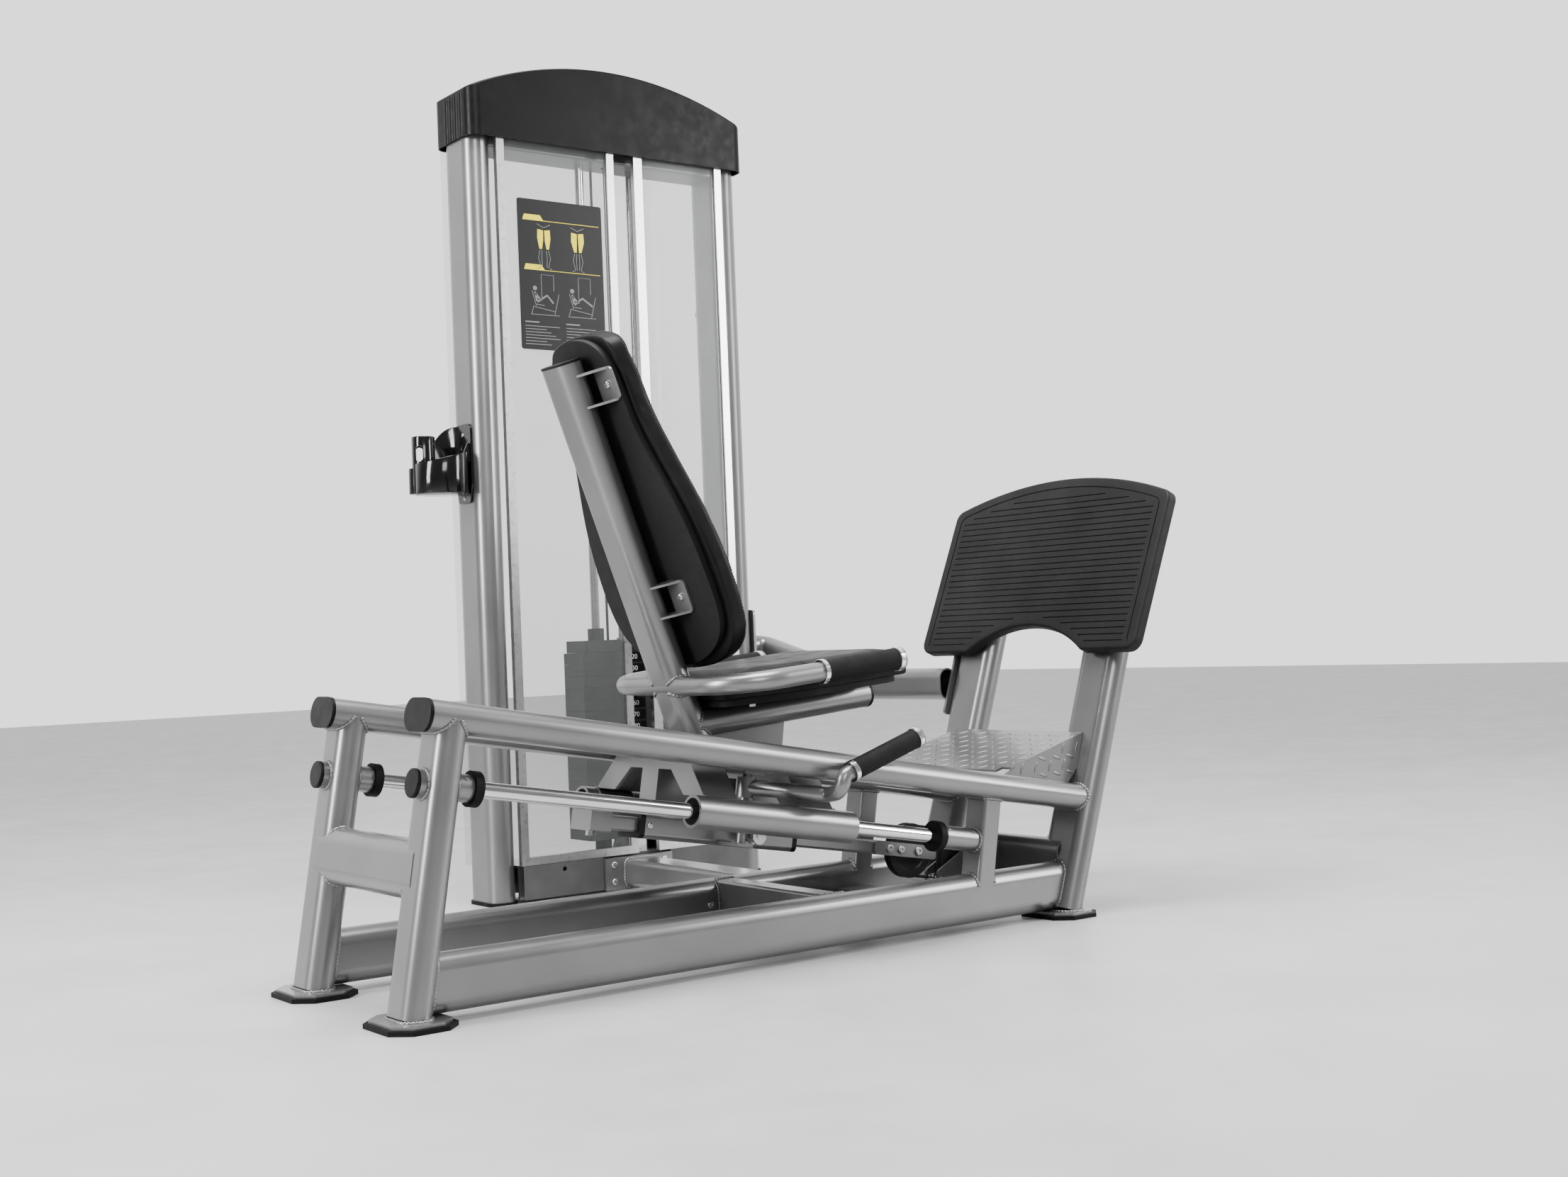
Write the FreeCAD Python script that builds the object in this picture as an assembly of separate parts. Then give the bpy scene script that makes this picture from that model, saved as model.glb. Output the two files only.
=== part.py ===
"""Seated leg press machine with a selectorised weight stack.

Millimetres, +Z up. The user sits facing +X and pushes against the foot board; the seat carriage then slides
back (-X) and uphill along two round shafts. The weight tower stands on the +Y side. Everything is drawn about
the seat's centre plane (Y = 0) and moved at the end so that the origin is the middle of the footprint.
"""
import FreeCAD, Part
import math
import os
from FreeCAD import Placement, Rotation, Vector

# ---- driving dimensions -------------------------------------------------------------------------------
FOOTPRINT_MIDDLE = Vector(-236.15, 320.97, 0)

RAIL_SLOPE = 9.87            # degrees, rails and shafts fall towards the foot board
POST_LEAN = 18.47            # degrees, front posts lean away from the user
BOARD_LEAN = 22.6            # degrees, foot board leans a little more
BACK_LEAN = 19.97            # degrees, back post leans away from the foot board
SEAT_RISE = 5.0              # degrees, seat rises towards the foot board
SIDE_Y = 172.6               # half distance between the two side frames
SHAFT_MID = Vector(-333.5, 0, 236)   # middle of the bearing housings, on the plane of the shafts

TUBE_WALL = 3.0
OVAL_THIN = 48.0             # flat-oval frame tube
OVAL_WIDE = 84.0
BACK_LENGTH = 565.0
BASE_WIDE = 88.0             # flat-oval bottom rail, on edge
BASE_THIN = 50.0
BASE_Z = 56.5
PAD_TOP = 12.0               # top of the steel floor plates
PAD_RUBBER = 7.0

SHAFT_R = 12.5
SHAFT_FIT = 0.05             # running clearance of every bearing, on the radius
RAIL_N = 99.0                # upper rail above the shafts, square to them
REAR_POST_S = -613.3         # rear post, along the shafts from SHAFT_MID
SUPPORT_S = 468.5            # support post, along the shafts
RAIL_REAR_S = -653.0
SHAFT_REAR_S, SHAFT_FRONT_S = -650.0, 448.5
SOCKET_R = 21.0
FRONT_WIDE, FRONT_THIN = 100.0, 50.0     # front posts
POST_LENGTH = 722.0
FRONT_CROSS_FACE = 318.0
HOUSING_HALF = 163.0
HOUSING_R = 27.0
BEARING_R = 22.0

BAR_N = -30.0                # seat adjustment bar below the shafts
BAR_HALF_Y = 25.0
BAR_HALF_N = 13.0
PULLEY_S = 447.0             # travelling pulley on the bar
LOCK_S, LOCK_Y = 50.0, -62.0             # where the lever's finger holds the lock plunger
PLUNGER_R = 6.0
SPINDLE_R = 8.0
LEVER_PIVOT = Vector(5, -80, 50)

TOWER_X = 9.0
TOWER_HALF = 315.0
TOWER_Y = 862.0
TOWER_WIDE = 120.0
TOWER_THIN = 60.0
CHANNEL_TOP = 80.0
COWL_Z = 1607.0
STACK_X = 36.0
STACK_Y = 868.0
PLATE_PITCH = 25.4
PLATE_GAP = 0.4
HEAD_Z = 518.0               # underside of the head plate
PLATES_LIFTED = 4
PLATES_RESTING = 12
GUIDE_HALF = 66.0
GUIDE_R = 10.0
PIN_R = 5.0

CABLE_R = 3.0
CABLE_Z = 36.0               # cable run through the base
TRAVEL_R = 46.0              # pitch radii of the pulleys
FRONT_R = 57.8
TURN_R = 46.0
BASE_R = 33.0
TOP_R = 29.0
TOP_Z = 1685.0
ANCHOR_S = 520.0

X = Vector(1, 0, 0)
Y = Vector(0, 1, 0)
Z = Vector(0, 0, 1)

SLOPE = Placement(SHAFT_MID, Rotation(Y, RAIL_SLOPE))
SEAT = Placement(Vector(0, 0, 451), Rotation(Y, -SEAT_RISE))
BACK_FOOT = Vector(-410, 0, 467)
BACK = Placement(BACK_FOOT, Rotation(Y, -BACK_LEAN))     # local Z runs up the back post, local X to the front
POST_FOOT = Vector(314, 0, 8)
POST = Placement(POST_FOOT, Rotation(Y, POST_LEAN))    # local Z runs up the front posts, local -X to the user
BOARD = Placement(Vector(413, 0, 490), Rotation(Y, BOARD_LEAN))  # local Z runs up the foot board's front face
BOARD_THICK = 22.0
BACKING_THICK = 5.0


# ---- drawing helpers ----------------------------------------------------------------------------------
def put(shape, placement):
    """The shape moved by a placement."""
    moved = shape.copy()
    moved.Placement = placement.multiply(moved.Placement)
    return moved


def sloped(shape):
    return put(shape, SLOPE)


def slope_point(s, y, n):
    return SLOPE.multVec(Vector(s, y, n))


def pair(shape):
    """The shape and its mirror image in the seat's centre plane."""
    return [shape, shape.mirror(Vector(0, 0, 0), Y)]


def box(x0, x1, y0, y1, z0, z1):
    return Part.makeBox(x1 - x0, y1 - y0, z1 - z0, Vector(x0, y0, z0))


def rod(start, end, radius):
    return Part.makeCylinder(radius, (end - start).Length, start, end - start)


def ring(start, end, outer, inner):
    return rod(start, end, outer).cut(rod(start, end, inner))


def rounded_edges(points, radii, closed):
    """Straight edges through the points, with an arc at each corner that has a radius."""
    count = len(points)
    starts, ends, edges = [], [], []
    for i, at in enumerate(points):
        radius = radii[i]
        if radius == 0 or (not closed and i in (0, count - 1)):
            starts.append(at)
            ends.append(at)
            continue
        before = (points[i - 1] - at).normalize()
        after = (points[(i + 1) % count] - at).normalize()
        half = before.getAngle(after) / 2
        reach = radius / math.tan(half)
        start = at + before * reach
        end = at + after * reach
        inward = (before + after).normalize()
        middle = at + inward * (radius / math.sin(half) - radius)
        starts.append(start)
        ends.append(end)
        edges.append((i, Part.Arc(start, middle, end).toShape()))
    arcs = dict(edges)
    path = []
    for i in range(count):
        if i in arcs:
            path.append(arcs[i])
        if i < count - 1 or closed:
            to = starts[(i + 1) % count]
            if (to - ends[i]).Length > 1e-5:
                path.append(Part.makeLine(ends[i], to))
    return path


def face(points, radii):
    """A flat face; radii is one number for every corner or a list."""
    if not isinstance(radii, (list, tuple)):
        radii = [radii] * len(points)
    return Part.Face(Part.Wire(rounded_edges(points, radii, True)))


def plate_xz(outline, y0, y1, radii=0):
    """A plate standing along X and Z, between two Y faces."""
    return face([Vector(x, y0, z) for x, z in outline], radii).extrude(Vector(0, y1 - y0, 0))


def plate_yz(outline, x0, x1, radii=0):
    """A plate standing along Y and Z, between two X faces."""
    return face([Vector(x0, y, z) for y, z in outline], radii).extrude(Vector(x1 - x0, 0, 0))


def plate_xy(outline, z0, z1, radii=0):
    """A plate lying along X and Y, between two Z faces."""
    return face([Vector(x, y, z0) for x, y in outline], radii).extrude(Vector(0, 0, z1 - z0))


def section(centre, along, wide_axis, wide, thin, radius):
    """A rounded rectangle square to a direction."""
    along = Vector(along).normalize()
    w = wide_axis - along * wide_axis.dot(along)
    w.normalize()
    t = along.cross(w)
    signs = ((1, 1), (-1, 1), (-1, -1), (1, -1))
    corners = [centre + w * (a * wide / 2) + t * (b * thin / 2) for a, b in signs]
    return face(corners, radius)


def oval(start, end, wide_axis, wide, thin, radius=None):
    """A solid bar with a flat-oval section, or a rounded rectangle where a radius is given."""
    radius = thin / 2 - 0.01 if radius is None else radius
    return section(start, end - start, wide_axis, wide, thin, radius).extrude(end - start)


def oval_tube(start, end, wide_axis, wide, thin, radius=None, wall=TUBE_WALL):
    radius = thin / 2 - 0.01 if radius is None else radius
    outer = oval(start, end, wide_axis, wide, thin, radius)
    inner = oval(start, end, wide_axis, wide - 2 * wall, thin - 2 * wall, radius - wall)
    return outer.cut(inner)


def bent_round(points, bends, radius):
    """A round bar along straight runs joined by bends."""
    path = Part.Wire(rounded_edges(points, bends, False))
    end = Part.Face(Part.Wire(Part.makeCircle(radius, points[0], points[1] - points[0])))
    return path.makePipe(end)


def bent_tube(points, bends, radius, wall):
    return bent_round(points, bends, radius).cut(bent_round(points, bends, radius - wall))


def parted(tube, points):
    """A bent tube as separate lengths that meet at the middle of each bend."""
    sheets = []
    for before, corner, after in zip(points, points[1:], points[2:]):
        sheet = Part.makePlane(160, 160, Vector(-80, -80, 0))
        across = (after - corner).normalize() + (corner - before).normalize()
        sheet.Placement = Placement(corner, Rotation(Z, across))
        sheets.append(sheet)
    return tube.generalFuse(sheets)[0].Solids


def button_bolt(at, out, radius=7.0, height=4.5, shank=8.0):
    """A button-head bolt whose head sits on a surface at a point and faces out."""
    out = Vector(out).normalize()
    head = rod(at, at + out * height, radius)
    rim = head.Edges[0] if head.Edges[0].BoundBox.Center.distanceToPoint(at) > height / 2 else head.Edges[2]
    head = head.makeFillet(height * 0.6, [rim])
    socket = rod(at + out * (height * 0.45), at + out * height, radius * 0.42)
    return head.cut(socket).fuse(rod(at - out * shank, at, radius * 0.5))


def hex_bolt(at, out, across=13.0, height=6.0, shank=8.0):
    out = Vector(out).normalize()
    side = out.cross(Z if abs(out.z) < 0.9 else X).normalize()
    other = out.cross(side)
    reach = across / math.sqrt(3)
    corners = []
    for k in range(6):
        turn = math.radians(60 * k)
        corners.append(at + side * (reach * math.cos(turn)) + other * (reach * math.sin(turn)))
    return face(corners, 0).extrude(out * height).fuse(rod(at - out * shank, at, across * 0.3))


def pulley(centre, axis, pitch, width, bore):
    """A grooved wheel whose groove seats the cable at the pitch radius."""
    axis = Vector(axis).normalize()
    rim = pitch + CABLE_R + 1.5
    floor = pitch - CABLE_R - 0.1
    web = width / 2 - 2
    profile = [(bore, -width / 2), (bore + 7, -width / 2), (bore + 8, -web), (floor - 8, -web),
               (floor - 6, -width / 2), (rim, -width / 2), (rim, -width / 2 + 1.5), (floor, -CABLE_R - 0.2),
               (floor, CABLE_R + 0.2), (rim, width / 2 - 1.5), (rim, width / 2), (floor - 6, width / 2),
               (floor - 8, web), (bore + 8, web), (bore + 7, width / 2), (bore, width / 2)]
    wheel = face([Vector(r, 0, h) for r, h in profile], 0).revolve(Vector(0, 0, 0), Z, 360)
    wheel = Part.Solid(wheel) if wheel.ShapeType == "Shell" else wheel
    return put(wheel, Placement(centre, Rotation(Z, axis)))


def drilled(shapes, bolts):
    """The shapes with a hole for every bolt that reaches them."""
    result = []
    for shape in shapes:
        for bolt in bolts:
            if shape.BoundBox.intersect(bolt.BoundBox):
                shape = shape.cut(bolt)
        result.append(shape)
    return result


def save(node, solids):
    """Write a node as one STEP file, moved to the part's origin."""
    if not isinstance(solids, (list, tuple)):
        solids = [solids]
    flat = []
    for shape in solids:
        flat.extend(shape.Solids)
    whole = flat[0] if len(flat) == 1 else Part.makeCompound(flat)
    whole = whole.copy()
    whole.translate(-FOOTPRINT_MIDDLE)
    if not whole.isValid():
        print("invalid shape in", node)
    whole.exportStep(f"parts/{node}.step")
    BUILT.append(whole)
    print(f"{node:22s} solids {len(flat):2d}  volume {whole.Volume / 1000:9.1f} cm3")


BUILT = []
FRAME_BOLTS = []             # filled as the bolted pieces are drawn


# ---- seat frame ---------------------------------------------------------------------------------------
def both_sides(shapes):
    return [half for shape in shapes for half in pair(shape)]


def rail_point(s):
    return slope_point(s, -SIDE_Y, RAIL_N)


def side_frame():
    """One side of the seat frame, on the -Y side, as solid bars and as hollow tubes cut to fit each other."""
    rear = (slope_point(REAR_POST_S, -SIDE_Y, -334.0), rail_point(REAR_POST_S))
    upper = (rail_point(RAIL_REAR_S), rail_point(709.8))
    front = (POST.multVec(Vector(0, -SIDE_Y, 4)), POST.multVec(Vector(0, -SIDE_Y, POST_LENGTH)))
    bottom = (Vector(-985, -SIDE_Y, BASE_Z), Vector(330, -SIDE_Y, BASE_Z))
    floor = box(-1200, 800, -400, 400, -50, PAD_TOP)
    board = put(box(-300, BOARD_THICK + BACKING_THICK, -400, 400, -200, 500), BOARD)
    solid = {
        "upper": oval(*upper, Y, OVAL_WIDE, OVAL_THIN),
        "rear": oval(*rear, Y, OVAL_WIDE, OVAL_THIN),
        "front": oval(*front, Y, FRONT_WIDE, FRONT_THIN),
        "bottom": oval(*bottom, Z, BASE_WIDE, BASE_THIN),
    }
    tube = {
        "upper": oval_tube(*upper, Y, OVAL_WIDE, OVAL_THIN).cut(solid["front"]),
        "rear": oval_tube(*rear, Y, OVAL_WIDE, OVAL_THIN).cut(solid["upper"]).cut(floor),
        "front": oval_tube(*front, Y, FRONT_WIDE, FRONT_THIN).cut(floor).cut(board),
        "bottom": oval_tube(*bottom, Z, BASE_WIDE, BASE_THIN).cut(solid["front"]).cut(solid["rear"]),
    }
    return solid, tube


def seat_frame():
    solid, tube = side_frame()
    socket = sloped(rod(Vector(-660, -SIDE_Y, 0), Vector(-550, -SIDE_Y, 0), SOCKET_R))
    cable_hole = rod(Vector(STACK_X, 100, CABLE_Z), Vector(STACK_X, 240, CABLE_Z), 7)
    far_bottom = tube["bottom"].mirror(Vector(0, 0, 0), Y).cut(cable_hole)
    brace_bolts = brace_flange_bolts()
    rail_bolt = button_bolt(Vector(-246, SIDE_Y - BASE_THIN / 2, BASE_Z), -Y, shank=6)
    FRAME_BOLTS.extend(brace_bolts + [rail_bolt])
    save("bottom_rails", drilled([tube["bottom"], far_bottom], [rail_bolt]))
    save("rear_posts", pair(tube["rear"].cut(socket)))
    save("upper_rails", pair(tube["upper"]))
    save("front_posts", drilled(pair(tube["front"]), brace_bolts))

    support = oval_tube(slope_point(SUPPORT_S, -SIDE_Y, -85), slope_point(SUPPORT_S, -SIDE_Y, RAIL_N), Y, 50, 40,
                        radius=5)
    support = support.cut(solid["bottom"]).cut(solid["upper"])
    support = support.cut(sloped(rod(Vector(360, -SIDE_Y, 0), Vector(SHAFT_FRONT_S, -SIDE_Y, 0), SOCKET_R)))
    support = max(support.Solids, key=lambda part: part.Volume)
    rear_cross = oval_tube(slope_point(REAR_POST_S, -SIDE_Y, -124), slope_point(REAR_POST_S, SIDE_Y, -124),
                           SLOPE.Rotation.multVec(Z), 90, BASE_THIN)
    mid_cross = oval_tube(Vector(-204, -SIDE_Y, 64), Vector(-204, SIDE_Y, 64), Z, 68, 44, radius=5)
    front_cross = oval_tube(Vector(343, -SIDE_Y, 94), Vector(343, SIDE_Y, 94), Z, 90, 50)
    struts = pair(support)
    for cross in (rear_cross, mid_cross, front_cross):
        for post in both_sides([solid["rear"], solid["front"], solid["bottom"]]):
            cross = cross.cut(post)
        struts.append(max(cross.Solids, key=lambda part: part.Volume))
    save("frame_struts", struts)
    feet(solid)
    end_caps()


def feet(solid):
    """Chamfered steel plates on rubber pads under the seat frame, thin pads under the tower."""
    plates, pads = [], []
    for x in (-993, 316):
        steel = box(x - 48, x + 48, -SIDE_Y - 62, -SIDE_Y + 62, PAD_RUBBER, PAD_TOP)
        rubber = box(x - 55, x + 55, -SIDE_Y - 69, -SIDE_Y + 69, 0, PAD_RUBBER)
        steel = steel.makeChamfer(24, [e for e in steel.Edges if e.BoundBox.ZLength > 1])
        rubber = rubber.makeChamfer(27, [e for e in rubber.Edges if e.BoundBox.ZLength > 1])
        plates += pair(steel)
        pads += pair(rubber)
    for side in (-1, 1):
        centre = Vector(TOWER_X + side * TOWER_HALF, TOWER_Y, 0)
        pads.append(oval(centre, centre + Z * PAD_RUBBER, Y, TOWER_WIDE + 8, TOWER_THIN + 8))
    save("floor_plates", plates)
    save("rubber_feet", pads)


def end_caps():
    """Plastic caps on the rear ends of the upper rails and shafts and on the tops of the front posts."""
    caps = []
    mouth = rail_point(RAIL_REAR_S)
    back = rail_point(RAIL_REAR_S - 6)
    inside = rail_point(RAIL_REAR_S + 18)
    bung = oval(mouth, inside, Y, OVAL_WIDE - 2 * TUBE_WALL, OVAL_THIN - 2 * TUBE_WALL)
    caps.append(oval(back, mouth, Y, OVAL_WIDE + 2, OVAL_THIN + 2).fuse(bung))
    shaft_cap = rod(Vector(SHAFT_REAR_S - 6, -SIDE_Y, 0), Vector(SHAFT_REAR_S, -SIDE_Y, 0), 22)
    shaft_cap = shaft_cap.makeFillet(2.5, [e for e in shaft_cap.Edges if e.BoundBox.XMax < SHAFT_REAR_S - 5])
    caps.append(sloped(shaft_cap))
    board = box(-300, BOARD_THICK + BACKING_THICK, -400, 400, -200, 500)
    top = oval(Vector(0, -SIDE_Y, POST_LENGTH), Vector(0, -SIDE_Y, POST_LENGTH + 4), Y, FRONT_WIDE, FRONT_THIN)
    caps.append(put(top, POST).cut(put(board, BOARD)))
    save("frame_end_caps", both_sides(caps))


def shafts():
    """Guide shafts, their welded sockets and the rubber stops at both ends of the travel."""

    def at(s):
        return Vector(s, -SIDE_Y, 0)

    sockets = [ring(at(SHAFT_REAR_S), at(-563), SOCKET_R, SHAFT_R),
               ring(at(366), at(SHAFT_FRONT_S), SOCKET_R, SHAFT_R)]
    screws = []
    out = Vector(0, -math.cos(math.radians(40)), math.sin(math.radians(40)))
    for s in (-575, 378, 434):
        screws.append(rod(at(s) + out * (SHAFT_R + 2), at(s) + out * (SOCKET_R + 0.8), 3))
    sockets = drilled(sockets, screws)
    stops = []
    for start, end in ((-563, -549), (352, 366)):
        stops += pair(sloped(ring(at(start), at(end), 27, SHAFT_R)))
    for side in (-1, 1):
        centre = Vector(STACK_X + side * GUIDE_HALF, STACK_Y, 0)
        stops.append(ring(centre + Z * CHANNEL_TOP, centre + Z * 111.2, 18, GUIDE_R))
    FRAME_BOLTS.extend(both_sides([sloped(screw) for screw in screws]))
    save("guide_shafts", pair(sloped(rod(at(SHAFT_REAR_S), at(SHAFT_FRONT_S), SHAFT_R))))
    save("shaft_sockets", both_sides([sloped(socket) for socket in sockets]))
    save("rubber_stops", stops)


def foot_board():
    """Board with an arched top and a cut-out below, drawn on its own front plane."""
    half, corner, apex, arch_half, arch_top = 297.0, 317.0, 370.5, 160.0, 54.0

    def point(y, z):
        return Vector(0, y, z)

    edges = [Part.Arc(point(half, corner), point(0, apex), point(-half, corner)).toShape(),
             Part.makeLine(point(-half, corner), point(-half, 0)),
             Part.makeLine(point(-half, 0), point(-arch_half, 0)),
             Part.Arc(point(-arch_half, 0), point(0, arch_top), point(arch_half, 0)).toShape(),
             Part.makeLine(point(arch_half, 0), point(half, 0)),
             Part.makeLine(point(half, 0), point(half, corner))]
    board = Part.Face(Part.Wire(edges)).extrude(X * BOARD_THICK)
    across = [e for e in board.Edges if e.BoundBox.XLength > BOARD_THICK - 1]
    board = board.makeFillet(24, [e for e in across if abs(e.BoundBox.Center.y) > half - 1])
    across = [e for e in board.Edges if e.BoundBox.XLength > BOARD_THICK - 1]
    board = board.makeFillet(14, [e for e in across if abs(abs(e.BoundBox.Center.y) - arch_half) < 1])
    board = board.makeFillet(4, [e for e in board.Edges if e.BoundBox.XMax < 0.01])
    save("foot_board", put(board, BOARD))


STEP_LOW = Vector(188.7, 0, 277.7)
STEP_HIGH = Vector(396.4, 0, 334.4)
STEP_HALF = 178.0
STEP_THICK = 4.0


def step_plate():
    """Tread sheet between the upper rails and the front posts, with a folded lip and side flaps."""
    low, high = STEP_LOW, STEP_HIGH
    sheet = plate_xz([(low.x, low.z), (high.x, high.z), (high.x - 1.3, high.z - STEP_THICK),
                      (low.x, low.z - STEP_THICK)], -STEP_HALF, STEP_HALF)
    for notch in pair(box(low.x - 2, low.x + 16, -STEP_HALF - 1, -STEP_HALF + 22, 250, 300)):
        sheet = sheet.cut(notch)
    rail_top = RAIL_N + OVAL_THIN / 2

    def on_rail(s):
        point = slope_point(s, 0, rail_top)
        return (point.x, point.z)

    fold = high.z - STEP_THICK
    flap = plate_xz([on_rail(508), (218, 281.7), (high.x - 2, fold), (374.4, 268), on_rail(672)],
                    -STEP_HALF, -STEP_HALF + STEP_THICK)
    lip = box(low.x, low.x + STEP_THICK, -120, 120, 250, low.z - 1)
    save("step_plate", sheet.fuse(lip).fuse(pair(flap)))


# ---- carriage -----------------------------------------------------------------------------------------
PORTAL_TOP = 92.0            # top of the two portal frames, above the shafts
SPINE_TOP = 128.0
SLEEVE_HALF_Y = 34.0
SLEEVE_HALF_N = 22.0
SLEEVE_TOP = BAR_N + SLEEVE_HALF_N


def portal(s0, s1):
    """One A-shaped portal that joins the two bearing housings, welded from flat bars round a middle tube."""
    plate, low, head_low, top = 6.0, 26.0, 66.0, PORTAL_TOP
    foot_y, top_y = 166.0, 104.0
    shoulder_y = foot_y - (foot_y - top_y) * (head_low - low) / (top - low)
    bars = []
    for s in (s0, s1 - plate):
        bars.append(plate_yz([(-shoulder_y, head_low), (shoulder_y, head_low), (top_y, top), (-top_y, top)],
                             s, s + plate))
        bars.append(box(s, s + plate, -25, 25, SLEEVE_TOP, head_low))
        bars += pair(plate_yz([(-foot_y, low), (-106, low), (-62, head_low), (-shoulder_y, head_low)],
                              s, s + plate))
    inner_y = top_y - plate
    flank = [(-foot_y, low), (plate * 4 / 3 - foot_y, low), (-inner_y, top - plate), (-inner_y, top), (-top_y, top)]
    bars += pair(plate_yz(flank, s0 + plate, s1 - plate))
    bars.append(box(s0 + plate, s1 - plate, -inner_y, inner_y, top - plate, top))
    middle = box(s0 + plate, s1 - plate, -25, 25, SLEEVE_TOP, top - plate)
    bars.append(middle.cut(box(s0 + plate, s1 - plate, -21, 21, SLEEVE_TOP + 4, top - plate)))
    housings = pair(rod(Vector(-HOUSING_HALF, SIDE_Y, 0), Vector(HOUSING_HALF, SIDE_Y, 0), HOUSING_R))
    return [bar.cut(housings) for bar in bars]


def back_post_solid():
    return put(oval(Vector(0, 0, -160), Vector(0, 0, BACK_LENGTH), Y, OVAL_WIDE, OVAL_THIN), BACK)


def seat_tube_solid(cut_size=0.0):
    rear, front = Vector(-420, 0, -OVAL_THIN / 2), Vector(-6, 0, -OVAL_THIN / 2)
    return put(oval(rear, front, Y, OVAL_WIDE - cut_size, OVAL_THIN - cut_size), SEAT)


def carriage():
    housings, bearings = [], []
    for y in (-SIDE_Y, SIDE_Y):
        housings.append(ring(Vector(-HOUSING_HALF, y, 0), Vector(HOUSING_HALF, y, 0), HOUSING_R, BEARING_R))
        for s in (-134, 76):
            bearings.append(ring(Vector(s, y, 0), Vector(s + 58, y, 0), BEARING_R, SHAFT_R + SHAFT_FIT))
    save("bearing_housings", [sloped(part) for part in housings])
    save("linear_bearings", [sloped(part) for part in bearings])

    post = back_post_solid()
    below = sloped(box(-300, 300, -100, 100, -200, SPINE_TOP))
    spine = sloped(oval_tube(Vector(-138, 0, 110), Vector(130, 0, 110), Y, 60, 36, radius=4))
    gusset = plate_xz([(-390, 340), (-190, 300), (-176, 392), (-330, 378), (-392, 372)], -5, 5)
    gusset = gusset.cut(below).cut(post).cut(seat_tube_solid())
    gusset = max(gusset.Solids, key=lambda part: part.Volume)
    portals = [sloped(bar) for bar in portal(-138, -70) + portal(62, 130)]
    save("carriage_frame", portals + [spine, gusset])

    sleeve_bolts = sleeve()
    hollow = put(oval(Vector(0, 0, -160), Vector(0, 0, BACK_LENGTH), Y, OVAL_WIDE - 2 * TUBE_WALL,
                      OVAL_THIN - 2 * TUBE_WALL), BACK)
    back_post = post.cut(hollow).cut(below)
    seat_tube = seat_tube_solid().cut(seat_tube_solid(2 * TUBE_WALL)).cut(post)
    seat_tube = max(seat_tube.Solids, key=lambda part: part.BoundBox.XMax)
    handle_bar(post)
    brackets, bracket_bolts = carriage_brackets()
    pad_bolts = pads()
    save("back_post", back_post)
    save("seat_tube", seat_tube)
    save("carriage_brackets", brackets)
    save("carriage_bolts", sleeve_bolts + bracket_bolts + pad_bolts)
    seat_cap = put(oval(Vector(-6, 0, -OVAL_THIN / 2), Vector(-1, 0, -OVAL_THIN / 2), Y, OVAL_WIDE + 1,
                        OVAL_THIN + 1), SEAT)
    post_top = Vector(0, 0, BACK_LENGTH)
    post_cap = put(oval(post_top, post_top + Z * 4, Y, OVAL_WIDE + 1, OVAL_THIN + 1), BACK)
    save("carriage_end_caps", [seat_cap, post_cap])


def sleeve():
    """Sleeve under the portals that rides on the adjustment bar, with a plastic bush in each end."""
    start, end = -158, 150
    body = oval_tube(Vector(start, 0, BAR_N), Vector(end, 0, BAR_N), Y, 2 * SLEEVE_HALF_Y, 2 * SLEEVE_HALF_N,
                     radius=9)
    boss_from, boss_to = Vector(LOCK_S, -47, BAR_N), Vector(LOCK_S, -28, BAR_N)
    boss = ring(boss_from, Vector(LOCK_S, -SLEEVE_HALF_Y + 1, BAR_N), 11, PLUNGER_R)
    body = body.fuse(boss).cut(rod(boss_from, boss_to, PLUNGER_R + SHAFT_FIT))
    screws = []
    for side in (-1, 1):
        screws.append(button_bolt(Vector(start + 9, side * SLEEVE_HALF_Y, BAR_N), Y * side, radius=5, height=3,
                                  shank=6))
    bushes = []
    for outer_end, inner_end in ((start - 10, start + 40), (end + 10, end - 40)):
        mouth = start if outer_end < 0 else end
        rim = oval(Vector(min(outer_end, mouth), 0, BAR_N), Vector(max(outer_end, mouth), 0, BAR_N), Y,
                   2 * SLEEVE_HALF_Y, 2 * SLEEVE_HALF_N, radius=9)
        low, high = min(outer_end, inner_end), max(outer_end, inner_end)
        liner = oval(Vector(low, 0, BAR_N), Vector(high, 0, BAR_N), Y, 2 * SLEEVE_HALF_Y - 2 * TUBE_WALL,
                     2 * SLEEVE_HALF_N - 2 * TUBE_WALL, radius=6)
        hole = oval(Vector(low - 1, 0, BAR_N), Vector(high + 1, 0, BAR_N), Y, 2 * BAR_HALF_Y + 0.6,
                    2 * BAR_HALF_N + 0.6, radius=2.3)
        bushes.append(rim.fuse(liner).cut(hole))
    save("adjuster_sleeve", [sloped(part) for part in drilled([body], screws)])
    save("sleeve_bushings", [sloped(part) for part in drilled(bushes, screws)])
    return [sloped(screw) for screw in screws]


HANDLE_R = 16.5
HANDLE_Y = 202.0
HANDLE_Z = 461.0
HANDLE_X = -417.0
HANDLE_FRONT = -72.0
GRIP_LONG = 156.0


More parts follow.
